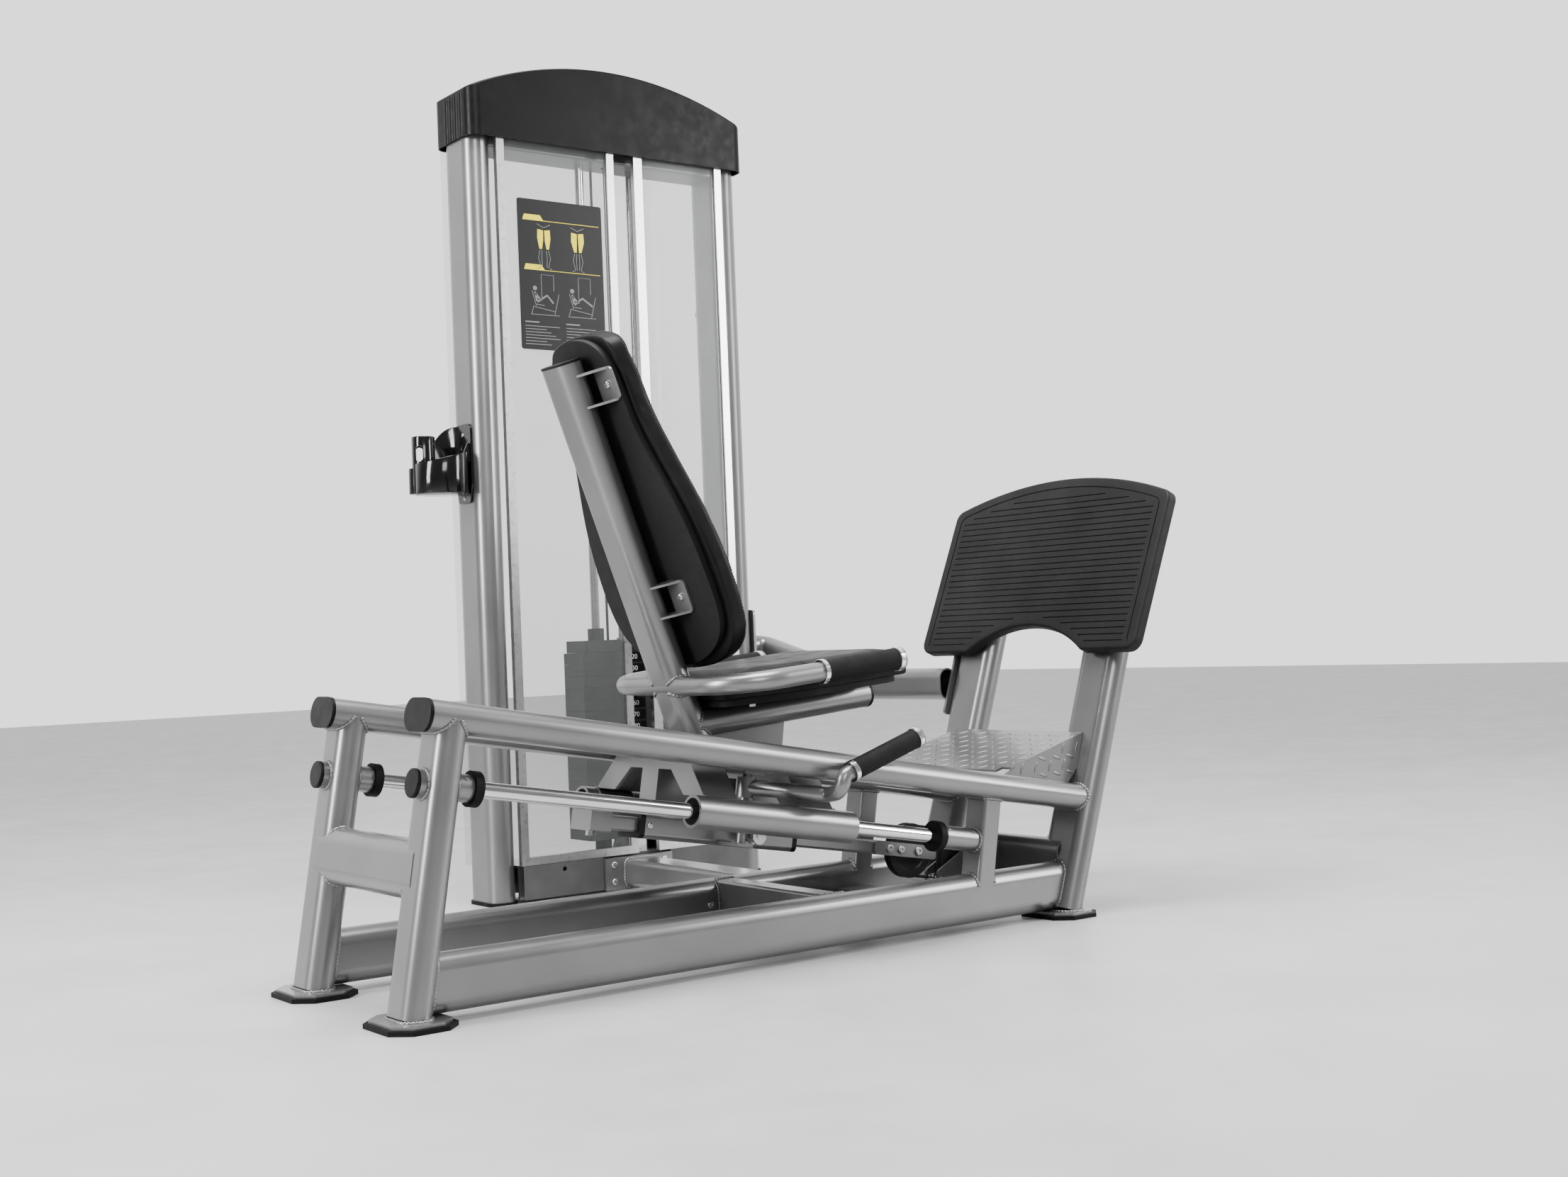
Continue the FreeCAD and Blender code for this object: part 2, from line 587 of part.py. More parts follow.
def handle_bar(post):
    """Grab bar through the back post, bent forward beside the seat, with a foam grip between two collars."""
    rise = (HANDLE_FRONT - HANDLE_X) * math.tan(math.radians(SEAT_RISE))
    tip = Vector(HANDLE_FRONT, -HANDLE_Y, HANDLE_Z + rise)
    bend = Vector(HANDLE_X, -HANDLE_Y, HANDLE_Z)
    mirrored = [Vector(p.x, -p.y, p.z) for p in (bend, tip)]
    route = [tip, bend] + mirrored
    bar = parted(bent_tube(route, [0, 95, 95, 0], HANDLE_R, 2.5).cut(post), route)
    along = (bend - tip).normalize()
    near, far = tip + along * 10, tip + along * (10 + GRIP_LONG)
    plug = rod(tip - along * 3, tip, HANDLE_R + 3.5)
    collars = [ring(tip, near, HANDLE_R + 3.5, HANDLE_R).fuse(plug),
               ring(far, far + along * 9, HANDLE_R + 3.5, HANDLE_R)]
    save("handle_bar", bar + both_sides(collars))
    save("handle_grips", pair(ring(near, far, HANDLE_R + 3.0, HANDLE_R)))


BOARD_D = 30.0               # back board in front of the back post's centre line
BRACKET_UP = (143.0, 514.0)


def carriage_brackets():
    """Folded brackets between the back post and the back board, and the two plates that hold the lever."""
    post = oval(Vector(0, 0, -160), Vector(0, 0, BACK_LENGTH), Y, OVAL_WIDE, OVAL_THIN)
    brackets, bolts = [], []
    for up in BRACKET_UP:
        bracket = plate_yz([(46, up - 29), (98, up - 29), (98, up + 29), (46, up + 29)], BOARD_D - 4, BOARD_D,
                           radii=[0, 10, 10, 0])
        for edge in (up - 29, up + 25):
            web = plate_xy([(BOARD_D - 4, 88), (BOARD_D - 4, 36), (-8, 36), (10, 66)], edge, edge + 4)
            bracket = bracket.fuse(web)
        bolt = button_bolt(Vector(BOARD_D - 4, 76, up), -X, shank=9)
        bolts += [put(part, BACK) for part in pair(bolt)]
        brackets += [put(part.cut(post), BACK) for part in drilled(pair(bracket), pair(bolt))]
    pivot = LEVER_PIVOT
    spindle_hole = rod(Vector(pivot.x, pivot.y, -60), Vector(pivot.x, pivot.y, 90), SPINDLE_R + SHAFT_FIT)
    upper = box(pivot.x - 20, pivot.x + 20, pivot.y - 22, -30, 72, 78).cut(spindle_hole)
    upper = upper.fuse(box(pivot.x - 20, pivot.x + 20, -36, -30, 78, 118))
    lower = box(pivot.x - 16, pivot.x + 16, pivot.y - 16, -SLEEVE_HALF_Y, -50, -44).cut(spindle_hole)
    brackets += [sloped(upper), sloped(lower)]
    return brackets, bolts


def half_outline(points):
    """A closed outline from one half, mirrored in Y."""
    return points + [(-y, z) for y, z in reversed(points)]


BACK_OUTLINE = [(104, 20), (166, 66), (181, 165), (168, 268), (135, 372), (113, 450), (106, 528), (84, 586)]


def back_outline(d, shrink):
    """Hourglass outline square to the back post, one smooth closed curve."""
    middle = 300
    points = []
    for y, up in half_outline(BACK_OUTLINE):
        inward = 1 - shrink / 180
        points.append(Vector(d, y * inward, middle + (up - middle) * (1 - shrink / 290)))
    curve = Part.BSplineCurve()
    curve.interpolate(points, PeriodicFlag=True)
    return Part.Face(Part.Wire(curve.toShape()))


SEAT_FRONT = -8.0
SEAT_REAR = -378.0
SEAT_BOARD = 11.0            # thickness of the plywood boards
SEAT_THICK = 36.0


def seat_outline(z, shrink):
    front, rear = SEAT_FRONT - shrink, SEAT_REAR + shrink
    wide, narrow = 165 - shrink, 108 - shrink
    points = [Vector(front, -wide, z), Vector(front, wide, z), Vector(-235, wide, z), Vector(rear, narrow, z),
              Vector(rear, -narrow, z), Vector(-235, -wide, z)]
    return face(points, [34, 34, 120, 34, 34, 120])


def pads():
    """Upholstered pads on their boards; the boards sit on the seat tube and on the back brackets."""
    back_board = back_outline(BOARD_D, 18).extrude(X * SEAT_BOARD)
    back_pad = back_outline(BOARD_D + SEAT_BOARD, 0).extrude(X * 38)
    seat_board = seat_outline(3, 14).extrude(Z * SEAT_BOARD)
    round_post = oval(Vector(0, 0, -160), Vector(0, 0, BACK_LENGTH), Y, OVAL_WIDE + 1, OVAL_THIN + 1)
    seat_pad = put(seat_outline(3 + SEAT_BOARD, 0).extrude(Z * SEAT_THICK), SEAT).cut(put(round_post, BACK))
    rails, bolts = [], []
    for s in (-290, -70):
        rails.append(box(s - 18, s + 18, -75, 75, 0, 3))
        for y in (-62, 62):
            bolts.append(hex_bolt(Vector(s, y, 0), -Z, shank=9))
    boards = [put(part, SEAT) for part in drilled(rails + [seat_board], bolts)]
    back_bolts = []
    for up in BRACKET_UP:
        back_bolts += [put(part, BACK) for part in pair(button_bolt(Vector(BOARD_D - 4, 76, up), -X, shank=9))]
    save("pad_boards", drilled([put(back_board, BACK)], back_bolts) + boards)
    save("back_pad", put(back_pad, BACK))
    save("seat_pad", seat_pad)
    return [put(bolt, SEAT) for bolt in bolts]


# ---- seat adjuster ------------------------------------------------------------------------------------
AXLE_R = 6.0
CHEEK_THICK = 5.0


def adjuster():
    """Bar through the sleeve, with a stop block behind and two cheeks that hold the travelling pulley."""
    bar_end = PULLEY_S - TRAVEL_R - 9
    cheek_y = BAR_HALF_Y + CHEEK_THICK
    bar = oval_tube(Vector(-255, 0, BAR_N), Vector(bar_end, 0, BAR_N), Y, 2 * BAR_HALF_Y, 2 * BAR_HALF_N, radius=5,
                    wall=4)
    stop = box(-262, -222, -31, 31, BAR_N - 17, BAR_N + 17)
    stop = stop.makeFillet(3, [e for e in stop.Edges if e.BoundBox.XLength > 30])
    bar_room = oval(Vector(-255, 0, BAR_N), Vector(-200, 0, BAR_N), Y, 2 * BAR_HALF_Y, 2 * BAR_HALF_N, radius=5)
    stop = stop.cut(bar_room)
    cheek = box(343, 492, -cheek_y, -BAR_HALF_Y, BAR_N - 12.5, BAR_N + 12.5)
    cheek = cheek.makeFillet(6, [e for e in cheek.Edges if e.BoundBox.YLength > 4])
    axle = rod(Vector(PULLEY_S, -cheek_y, BAR_N), Vector(PULLEY_S, cheek_y, BAR_N), AXLE_R)
    bolts = [hex_bolt(Vector(-242, 0, BAR_N - 17), -Z, height=8, shank=4)]
    for side in (-1, 1):
        for s, shank in ((bar_end - 14, CHEEK_THICK + 2), (PULLEY_S - 42, CHEEK_THICK)):
            bolts.append(button_bolt(Vector(s, side * cheek_y, BAR_N), Y * side, radius=7.5, shank=shank))
        axle = axle.fuse(button_bolt(Vector(PULLEY_S, side * cheek_y, BAR_N), Y * side, radius=8.5, shank=1))
    parts = [bar, stop] + pair(cheek)
    spacers = [ring(Vector(PULLEY_S, y0, BAR_N), Vector(PULLEY_S, y0 + 15.5, BAR_N), 10, AXLE_R)
               for y0 in (-25, 9.5)]
    save("adjuster_bar", [sloped(part) for part in drilled(parts, bolts + [axle])])
    save("adjuster_bolts", [sloped(part) for part in [axle] + spacers + bolts])
    wheel = pulley(Vector(PULLEY_S, 0, BAR_N), Y, TRAVEL_R, 17, AXLE_R + SHAFT_FIT)
    save("travelling_pulley", sloped(wheel))


def lever():
    """Seat release lever: hub on an upright spindle, bent tube under the upper rail, grip outside the rail."""
    pivot = LEVER_PIVOT
    tube_r = 13.0
    grip_start = Vector(86, -241, 84)
    grip_end = Vector(238, -241, 164)
    route = [pivot, Vector(43, -159, 50), Vector(84, -205, 50), Vector(84, -241, 56), grip_start, grip_end]
    tube = bent_tube(route, [0, 40, 20, 22, 16, 0], tube_r, 2.5)
    spindle = rod(Vector(pivot.x, pivot.y, -49), Vector(pivot.x, pivot.y, 80), SPINDLE_R)
    spindle = spindle.fuse(rod(Vector(pivot.x, pivot.y, 78.5), Vector(pivot.x, pivot.y, 84), SPINDLE_R + 4))
    hub = rod(Vector(pivot.x, pivot.y, 33), Vector(pivot.x, pivot.y, 67), 17)
    tube = parted(tube.fuse(hub).cut(spindle), route)
    finger_low, finger_high = BAR_N + 8, BAR_N + 14
    neck = LOCK_S - 16
    outline = [(pivot.x, pivot.y - 9), (neck, LOCK_Y - 2.5), (LOCK_S, LOCK_Y - 2.5), (LOCK_S, LOCK_Y + 2.5),
               (neck, LOCK_Y + 2.5), (pivot.x, pivot.y + 9)]
    finger = plate_xy(outline, finger_low, finger_high)
    for x, y, radius in ((pivot.x, pivot.y, 14), (LOCK_S, LOCK_Y, 5)):
        finger = finger.fuse(rod(Vector(x, y, finger_low), Vector(x, y, finger_high), radius))
    along = (grip_end - grip_start).normalize()
    near = grip_start + along * 14
    collars = [ring(near, near + along * 9, tube_r + 5, tube_r),
               ring(grip_end - along * 9, grip_end, tube_r + 5, tube_r).fuse(
                   rod(grip_end, grip_end + along * 3, tube_r + 5))]
    save("lever_tube", [sloped(part) for part in tube + [spindle, finger.cut(spindle)] + collars])
    save("lever_grip", sloped(ring(near + along * 9, grip_end - along * 9, tube_r + 4, tube_r)))

    tip_y = -BAR_HALF_Y - 0.3
    plunger = rod(Vector(LOCK_S, LOCK_Y - 12, BAR_N), Vector(LOCK_S, tip_y, BAR_N), PLUNGER_R)
    for y0 in (LOCK_Y - 10.5, LOCK_Y + 5.5):
        plunger = plunger.fuse(rod(Vector(LOCK_S, y0, BAR_N), Vector(LOCK_S, y0 + 5, BAR_N), 14))
    save("lock_plunger", sloped(plunger))


# ---- weight tower -------------------------------------------------------------------------------------
LEFT_IN = TOWER_X - TOWER_HALF + TOWER_THIN / 2      # inner faces of the two tower posts
RIGHT_IN = TOWER_X + TOWER_HALF - TOWER_THIN / 2
PANES = ((-265, -3), (79, 284))
PANE_Y = 790.5
PANE_THICK = 4.0


def tower():
    rear_screws, standoffs = [], []
    for side in (-1, 1):
        for z in (300, 1300):
            x = TOWER_X + side * TOWER_HALF
            standoffs.append(rod(Vector(x, TOWER_Y + TOWER_WIDE / 2, z), Vector(x, 938, z), 8))
            rear_screws.append(button_bolt(Vector(x, 941, z), Y, radius=6, height=3.5, shank=3))
    FRAME_BOLTS.extend(standoffs + rear_screws)

    posts = []
    for side in (-1, 1):
        foot = Vector(TOWER_X + side * TOWER_HALF, TOWER_Y, PAD_RUBBER)
        posts.append(oval_tube(foot, Vector(foot.x, foot.y, 1640), Y, TOWER_WIDE, TOWER_THIN))
    save("tower_posts", drilled(posts, FRAME_BOLTS))

    channel = box(LEFT_IN, RIGHT_IN, 806, 918, 9, CHANNEL_TOP)
    channel = channel.cut(box(LEFT_IN - 1, RIGHT_IN + 1, 811, 913, 0, 75))
    channel = channel.cut(box(STACK_X - 18, STACK_X + 18, 846, 919, 60, 90))
    channel = channel.cut(box(STACK_X - 18, STACK_X + 18, 905, 925, 0, 90))
    channel = channel.cut(rod(Vector(STACK_X, 790, CABLE_Z), Vector(STACK_X, 830, CABLE_Z), 8))
    top = oval_tube(Vector(LEFT_IN, STACK_Y, 1621), Vector(RIGHT_IN, STACK_Y, 1621), Y, 90, 50, radius=5)
    top = top.cut(rod(Vector(STACK_X, STACK_Y, 1590), Vector(STACK_X, STACK_Y, 1650), 8))
    save("tower_beams", drilled([channel, top], FRAME_BOLTS))

    rods = []
    for side in (-1, 1):
        centre = Vector(STACK_X + side * GUIDE_HALF, STACK_Y, 0)
        rods.append(rod(centre + Z * CHANNEL_TOP, centre + Z * 1596, GUIDE_R))
    save("guide_rods", rods)

    cover = box(LEFT_IN + 1, RIGHT_IN - 1, 782, 786, 10, 79)
    for x in (LEFT_IN + 20, -104, 104, RIGHT_IN - 24):
        cover = cover.fuse(box(x, x + 4, 786, 806, 12, 76))
    cover = cover.cut(rod(Vector(-179, 780, 66), Vector(-179, 790, 66), 5)).cut(box(-84, 88, 770, 810, 5, 80))
    save("base_cover", cover)

    trims, sheets = [], []
    for x0, x1 in ((-278, -260), (-8, 10), (62, 84), (279, 297)):
        trims.append(box(x0, x1, PANE_Y - 4, PANE_Y + 8.5, 80, 1622))
    for x0, x1 in PANES:
        sheets.append(box(x0, x1, PANE_Y, PANE_Y + PANE_THICK, 92, 1620))
        trims.append(box(x0 + 5, x1 - 5, PANE_Y - 4, PANE_Y + 8.5, 80, 97))
    sheets.append(box(-330, 348, 938, 941, 76, 1606))
    save("shield_trims", [solid for trim in drilled(trims, sheets) for solid in trim.Solids])
    save("clear_shields", drilled(sheets, rear_screws))


def cowl():
    """Arched plastic cover over the top beam, open below, ribbed upright at both ends."""
    x0, x1, y0, y1, end_z, apex, wall = -341.0, 359.0, 780.0, 946.0, 1708.0, 1785.0, 3.5

    def body(shrink, bottom):
        a, b, y = x0 + shrink, x1 - shrink, y0 + shrink
        crown = Part.Arc(Vector(b, y, end_z - shrink), Vector((a + b) / 2, y, apex - shrink),
                         Vector(a, y, end_z - shrink)).toShape()
        sides = [Part.makeLine(Vector(a, y, end_z - shrink), Vector(a, y, bottom)),
                 Part.makeLine(Vector(a, y, bottom), Vector(b, y, bottom)),
                 Part.makeLine(Vector(b, y, bottom), Vector(b, y, end_z - shrink))]
        solid = Part.Face(Part.Wire([crown] + sides)).extrude(Vector(0, y1 - y0 - 2 * shrink, 0))
        upright = [e for e in solid.Edges if e.BoundBox.ZLength > 50 and e.BoundBox.DiagonalLength < 150]
        return solid.makeFillet(26 - shrink, upright)

    shell = body(0, COWL_Z)
    crown = [e for e in shell.Edges if e.BoundBox.XLength > 500 and e.BoundBox.ZMax > apex - 5]
    shell = shell.makeFillet(4, crown)
    for k in range(4):
        for x in (x0 + 8, x1 - 8):
            foot = Vector(x, 820 + 22 * k, COWL_Z)
            shell = shell.fuse(rod(foot, foot + Z * (end_z - COWL_Z - 8), 10.5))
    save("cowl", shell.cut(body(wall, COWL_Z - 5)))


POST_FACE = SIDE_Y + FRONT_WIDE / 2
FLANGE_THICK = 6.0
FLANGE_LOW, FLANGE_HIGH = 362.0, 488.0


def lean_x(z):
    """Centre line of the front posts at a height."""
    return POST_FOOT.x + (z - POST_FOOT.z) * math.tan(math.radians(POST_LEAN))


def brace_flange_bolts():
    at_y = POST_FACE + FLANGE_THICK
    return [button_bolt(Vector(lean_x(z), at_y, z), Y, radius=6, height=4, shank=14) for z in (374, 476)]


def tower_joints():
    """Connecting tube and brace between the seat frame and the tower, with their bolted flanges."""
    tube = oval_tube(Vector(5, SIDE_Y, 42), Vector(5, 775, 42), X, 80, 58, radius=12)
    rail = oval(Vector(-985, SIDE_Y, BASE_Z), Vector(330, SIDE_Y, BASE_Z), Z, BASE_WIDE, BASE_THIN)
    save("connecting_tube", max(tube.cut(rail).Solids, key=lambda part: part.BoundBox.YMax))

    wide, thin = 66.0, 44.0
    post_x = TOWER_X + TOWER_HALF + TOWER_THIN / 2
    start_x = post_x + FLANGE_THICK
    route = [Vector(start_x, TOWER_Y, 508), Vector(424, TOWER_Y, 508), Vector(424, 530, 425),
             Vector(424, POST_FACE + FLANGE_THICK, 425)]
    path = Part.Wire(rounded_edges(route, [0, 30, 160, 0], False))
    pipes = []
    for wall in (0, TUBE_WALL):
        sweep = Part.BRepOffsetAPI.MakePipeShell(path)
        sweep.setBiNormalMode(Z)
        sweep.add(section(route[0], X, Z, wide - 2 * wall, thin - 2 * wall, thin / 2 - wall - 0.01).OuterWire)
        sweep.build()
        sweep.makeSolid()
        pipes.append(sweep.shape())
    save("brace_tube", pipes[0].cut(pipes[1]))

    cable_hole = rod(Vector(STACK_X, 770, CABLE_Z), Vector(STACK_X, 790, CABLE_Z), 8)
    base = box(-83, 87, 775, 783, 8, 76).cut(cable_hole)
    base = base.fuse(box(-83, -60, 783, 806, 20, 70)).fuse(box(64, 87, 783, 806, 20, 70))
    on_tower = plate_yz([(806, 470), (918, 470), (918, 600), (806, 600)], post_x, start_x, radii=10)
    outline = [(lean_x(z) + dx, z) for z, dx in ((FLANGE_LOW, -27), (FLANGE_LOW, 27), (FLANGE_HIGH, 27),
                                                 (FLANGE_HIGH, -27))]
    on_post = plate_xz(outline, POST_FACE, POST_FACE + FLANGE_THICK, radii=8)
    backing = box(BOARD_THICK, BOARD_THICK + BACKING_THICK, -245, 245, 60, 300)
    bolts = []
    for x, z in ((-62, 62), (66, 62), (-62, 26), (66, 26)):
        bolts.append(button_bolt(Vector(x, 775, z), -Y, shank=8))
    for y in (838, 886):
        bolts.append(button_bolt(Vector(start_x, y, 585), X, radius=5, height=3, shank=5))
    board_bolts = []
    for y in (-225, -85, 85, 225):
        for up in (90, 270):
            board_bolts.append(put(button_bolt(Vector(BOARD_THICK + BACKING_THICK, y, up), X, shank=5), BOARD))
    plates = drilled([base, on_tower, put(backing, BOARD)], bolts + board_bolts)
    plates += drilled([on_post], brace_flange_bolts())
    save("mounting_plates", plates)
    FRAME_BOLTS.extend(bolts + board_bolts)


def cup_holder():
    """Moulded cup ring and small pocket on a back plate, screwed to the side of the tower post."""
    post_x = TOWER_X - TOWER_HALF - TOWER_THIN / 2
    cup_at = Vector(post_x - 62, TOWER_Y, 0)
    pocket_at = Vector(post_x - 106, TOWER_Y - 26, 0)
    outer, pocket_r, wall, floor = 57.0, 25.0, 3.5, 4.0
    screws = [button_bolt(Vector(post_x - 4, TOWER_Y, z), -X, radius=4.5, height=2.5, shank=4)
              for z in (852, 985)]
    plate = plate_yz([(836, 842), (888, 842), (896, 880), (896, 1008), (828, 1008), (828, 880)], post_x - 4, post_x,
                     radii=[8, 8, 10, 14, 14, 10])
    cup = rod(cup_at + Z * 860, cup_at + Z * 960, outer)
    slope = [(post_x - 160, 914), (post_x + 40, 962), (post_x + 40, 1060), (post_x - 160, 1060)]
    above_rim = plate_xz(slope, 760, 960)
    holder = cup.cut(above_rim).fuse(rod(pocket_at + Z * 862, pocket_at + Z * 980, pocket_r))
    for y in (TOWER_Y - 34, TOWER_Y + 30):
        wing = plate_xz([(post_x - 4, 930), (post_x - 62, 930), (post_x - 40, 965), (post_x - 4, 1008)], y, y + 4)
        holder = holder.fuse(wing)
    holder = holder.cut(rod(cup_at + Z * (860 + floor), cup_at + Z * 1060, outer - wall))
    holder = holder.cut(rod(pocket_at + Z * (862 + floor), pocket_at + Z * 1000, pocket_r - wall))
    window = box(pocket_at.x - 6, pocket_at.x + 6, pocket_at.y - 40, pocket_at.y, 930, 962)
    holder = holder.cut(window).cut(box(post_x - 4, post_x + 100, 760, 960, 800, 1100)).fuse(plate)
    holder = holder.cut(rod(cup_at + Z * (860 + floor), cup_at + Z * 925, outer - wall))
    save("cup_holder", drilled([holder.removeSplitter()], screws))
    FRAME_BOLTS.extend(screws)


# ---- weight stack -------------------------------------------------------------------------------------
PLATE_THICK = PLATE_PITCH - PLATE_GAP
STEM_R = 12.0
STEM_TOP = HEAD_Z + 60


def stack_plate(z, thick, half_x, half_y):
    """A plate about the selector stem, with holes for the guide rods."""
    plate = box(STACK_X - half_x, STACK_X + half_x, STACK_Y - half_y, STACK_Y + half_y, z, z + thick)
    plate = plate.makeFillet(5, [e for e in plate.Edges if e.BoundBox.ZLength > thick - 1])
    for side in (-1, 1):
        at = Vector(STACK_X + side * GUIDE_HALF, STACK_Y, z)
        plate = plate.cut(rod(at - Z, at + Z * (thick + 1), GUIDE_R + 2.5))
    return plate


def pin_height(plate_number):
    return HEAD_Z - plate_number * PLATE_PITCH + PLATE_THICK / 2


def weights():
    axis = Vector(STACK_X, STACK_Y, 0)
    resting, lifted = [], []
    for k in range(1, PLATES_LIFTED + PLATES_RESTING + 1):
        z = HEAD_Z - k * PLATE_PITCH
        plate = stack_plate(z, PLATE_THICK, 125, 45)
        plate = plate.cut(rod(axis + Z * (z - 1), axis + Z * (z + PLATE_PITCH), STEM_R + 2))
        plate = plate.cut(rod(axis + Z * pin_height(k) - Y * 50, axis + Z * pin_height(k), PIN_R + 0.5))
        (lifted if k <= PLATES_LIFTED else resting).append(plate)
    save("resting_plates", resting)
    save("lifted_plates", lifted)

    head = stack_plate(HEAD_Z, 26, 118, 44).cut(rod(axis + Z * (HEAD_Z - 1), axis + Z * (HEAD_Z + 40), STEM_R))
    bushes = []
    for side in (-1, 1):
        at = axis + X * (side * GUIDE_HALF)
        lower = ring(at + Z * HEAD_Z, at + Z * (HEAD_Z + 26), GUIDE_R + 2.5, GUIDE_R + SHAFT_FIT)
        bushes.append(lower.fuse(ring(at + Z * (HEAD_Z + 26), at + Z * (HEAD_Z + 52), 18, GUIDE_R + SHAFT_FIT)))
    save("head_plate", [head] + bushes)

    stem = rod(axis + Z * 118, axis + Z * (HEAD_Z + 30), STEM_R)
    stem = stem.fuse(rod(axis + Z * HEAD_Z, axis + Z * STEM_TOP, 7))
    for k in range(1, PLATES_LIFTED + PLATES_RESTING):
        at = axis + Z * pin_height(k)
        stem = stem.cut(rod(at - Y * 20, at + Y * 20, PIN_R + SHAFT_FIT))
    save("selector_stem", stem)

    at = Vector(STACK_X, STACK_Y - 45, pin_height(PLATES_LIFTED))
    knob = rod(at - Y * 24, at - Y * 1, 14)
    knob = knob.makeFillet(4, [e for e in knob.Edges if e.BoundBox.YMax < at.y - 23])
    save("selector_pin", rod(at - Y * 12, at + Y * 57, PIN_R).fuse(knob))


# ---- cable drive --------------------------------------------------------------------------------------
def front_pulley_centre():
    """Centre of the wheel that touches both the sloped upper span and the level run through the base."""
    centre_n = BAR_N + TRAVEL_R - FRONT_R
    slope = math.radians(RAIL_SLOPE)
    s = (SHAFT_MID.z + centre_n * math.cos(slope) - CABLE_Z - FRONT_R) / math.sin(slope)
    return slope_point(s, 0, centre_n)


def cable_drive():
    """One steel cable: anchor, travelling pulley, front, turning, base and top pulleys, head of the stack."""
    upper_n, lower_n = BAR_N + TRAVEL_R, BAR_N - TRAVEL_R
    front = front_pulley_centre()
    turn = Vector(STACK_X + TURN_R, TURN_R, CABLE_Z)
    rise_y = STACK_Y + 2 * TOP_R
    base = Vector(STACK_X, rise_y - BASE_R, CABLE_Z + BASE_R)
    top = Vector(STACK_X, STACK_Y + TOP_R, TOP_Z)
    anchor = slope_point(ANCHOR_S, 0, lower_n)
    link_end = slope_point(ANCHOR_S - 14, 0, lower_n)
    wheels = {"front_pulley": (front, Y, FRONT_R, 17, 19), "turning_pulley": (turn, Z, TURN_R, 17, 16),
              "base_pulley": (base, X, BASE_R, 14, 13), "top_pulley": (top, X, TOP_R, 14, 13)}
    fittings = []
    for node, (centre, axis, pitch, width, reach) in wheels.items():
        save(node, pulley(centre, axis, pitch, width, AXLE_R + SHAFT_FIT))
        fittings.append(rod(centre - axis * reach, centre + axis * reach, AXLE_R))
    axles = list(fittings)
    washers = ((front, Y, 9, 14), (turn, Z, 9, 11), (base, X, 7.5, 10), (top, X, 7.5, 10))
    for centre, axis, start, end in washers:
        for side in (-1, 1):
            fittings.append(ring(centre + axis * (side * start), centre + axis * (side * end), 9, AXLE_R))
    pin = rod(anchor - Y * 21, anchor + Y * 21, 4)
    hook = ring(anchor - Y * 5, anchor + Y * 5, 9, 4).fuse(rod(link_end, anchor, 4.5)).cut(pin)
    save("pulley_axles", fittings + [pin, hook])

    brackets = []
    cheek = plate_xz([(FRONT_CROSS_FACE, 70), (FRONT_CROSS_FACE, 128), (front.x + 30, 128), (front.x - 10, 122),
                      (anchor.x - 8, anchor.z + 14), (anchor.x - 8, anchor.z - 12), (front.x, 64)], 14, 19,
                     radii=[0, 0, 8, 8, 8, 8, 8])
    brackets += pair(cheek)
    for z0 in (CABLE_Z - 16, CABLE_Z + 11):
        brackets.append(box(turn.x - 34, turn.x + 34, turn.y - 20, SIDE_Y - BASE_THIN / 2, z0, z0 + 5))
    for side in (-1, 1):
        inner, outer = STACK_X + side * 10, STACK_X + side * 13
        foot = box(min(inner, STACK_X + side * 26), max(inner, STACK_X + side * 26), base.y - 14, base.y + 14,
                   CHANNEL_TOP, CHANNEL_TOP + 3)
        low = box(min(inner, outer), max(inner, outer), base.y - 14, base.y + 14, base.z - 20, CHANNEL_TOP + 3)
        high = box(min(inner, outer), max(inner, outer), top.y - 14, top.y + 14, 1646, top.z + 16)
        brackets += [low.fuse(foot), high]
    save("pulley_brackets", drilled(brackets, axles + [pin]))

    split = slope_point(560, 0, upper_n)
    left_s = PULLEY_S - TRAVEL_R
    wrap = [split, slope_point(left_s, 0, upper_n), slope_point(left_s, 0, lower_n), link_end]
    save("travel_cable", bent_round(wrap, [0, TRAVEL_R, TRAVEL_R, 0], CABLE_R))
    x_far = front.x + FRONT_R
    over = Vector(x_far, 0, split.z - (x_far - split.x) * math.tan(math.radians(RAIL_SLOPE)))
    route = [split, over, Vector(x_far, 0, CABLE_Z), Vector(STACK_X, 0, CABLE_Z), Vector(STACK_X, rise_y, CABLE_Z),
             Vector(STACK_X, rise_y, TOP_Z + TOP_R), Vector(STACK_X, STACK_Y, TOP_Z + TOP_R),
             Vector(STACK_X, STACK_Y, TOP_Z)]
    save("base_cable", bent_round(route, [0, FRONT_R, FRONT_R, TURN_R, BASE_R, TOP_R, TOP_R, 0], CABLE_R))
    save("lift_cable", rod(Vector(STACK_X, STACK_Y, STEM_TOP), Vector(STACK_X, STACK_Y, TOP_Z), CABLE_R))


def main():
    os.makedirs("parts", exist_ok=True)
    seat_frame()
    shafts()
    foot_board()
    step_plate()
    carriage()
    adjuster()
    lever()
    cup_holder()
    tower_joints()
    tower()
    cowl()
    weights()
    cable_drive()
    save("frame_bolts", FRAME_BOLTS)
    print("nodes", len(BUILT), "box", Part.makeCompound(BUILT).BoundBox)


main()
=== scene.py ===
"""Seated leg press machine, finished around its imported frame.

Row frame in metres: +X from the seat to the foot board, +Y to the weight tower, +Z up. Most sizes below
are in millimetres about the seat's centre plane, as the part is drawn; at() turns them into the row frame.
"""
import math

import bmesh
import bpy
from mathutils import Matrix, Vector
from mathutils.bvhtree import BVHTree


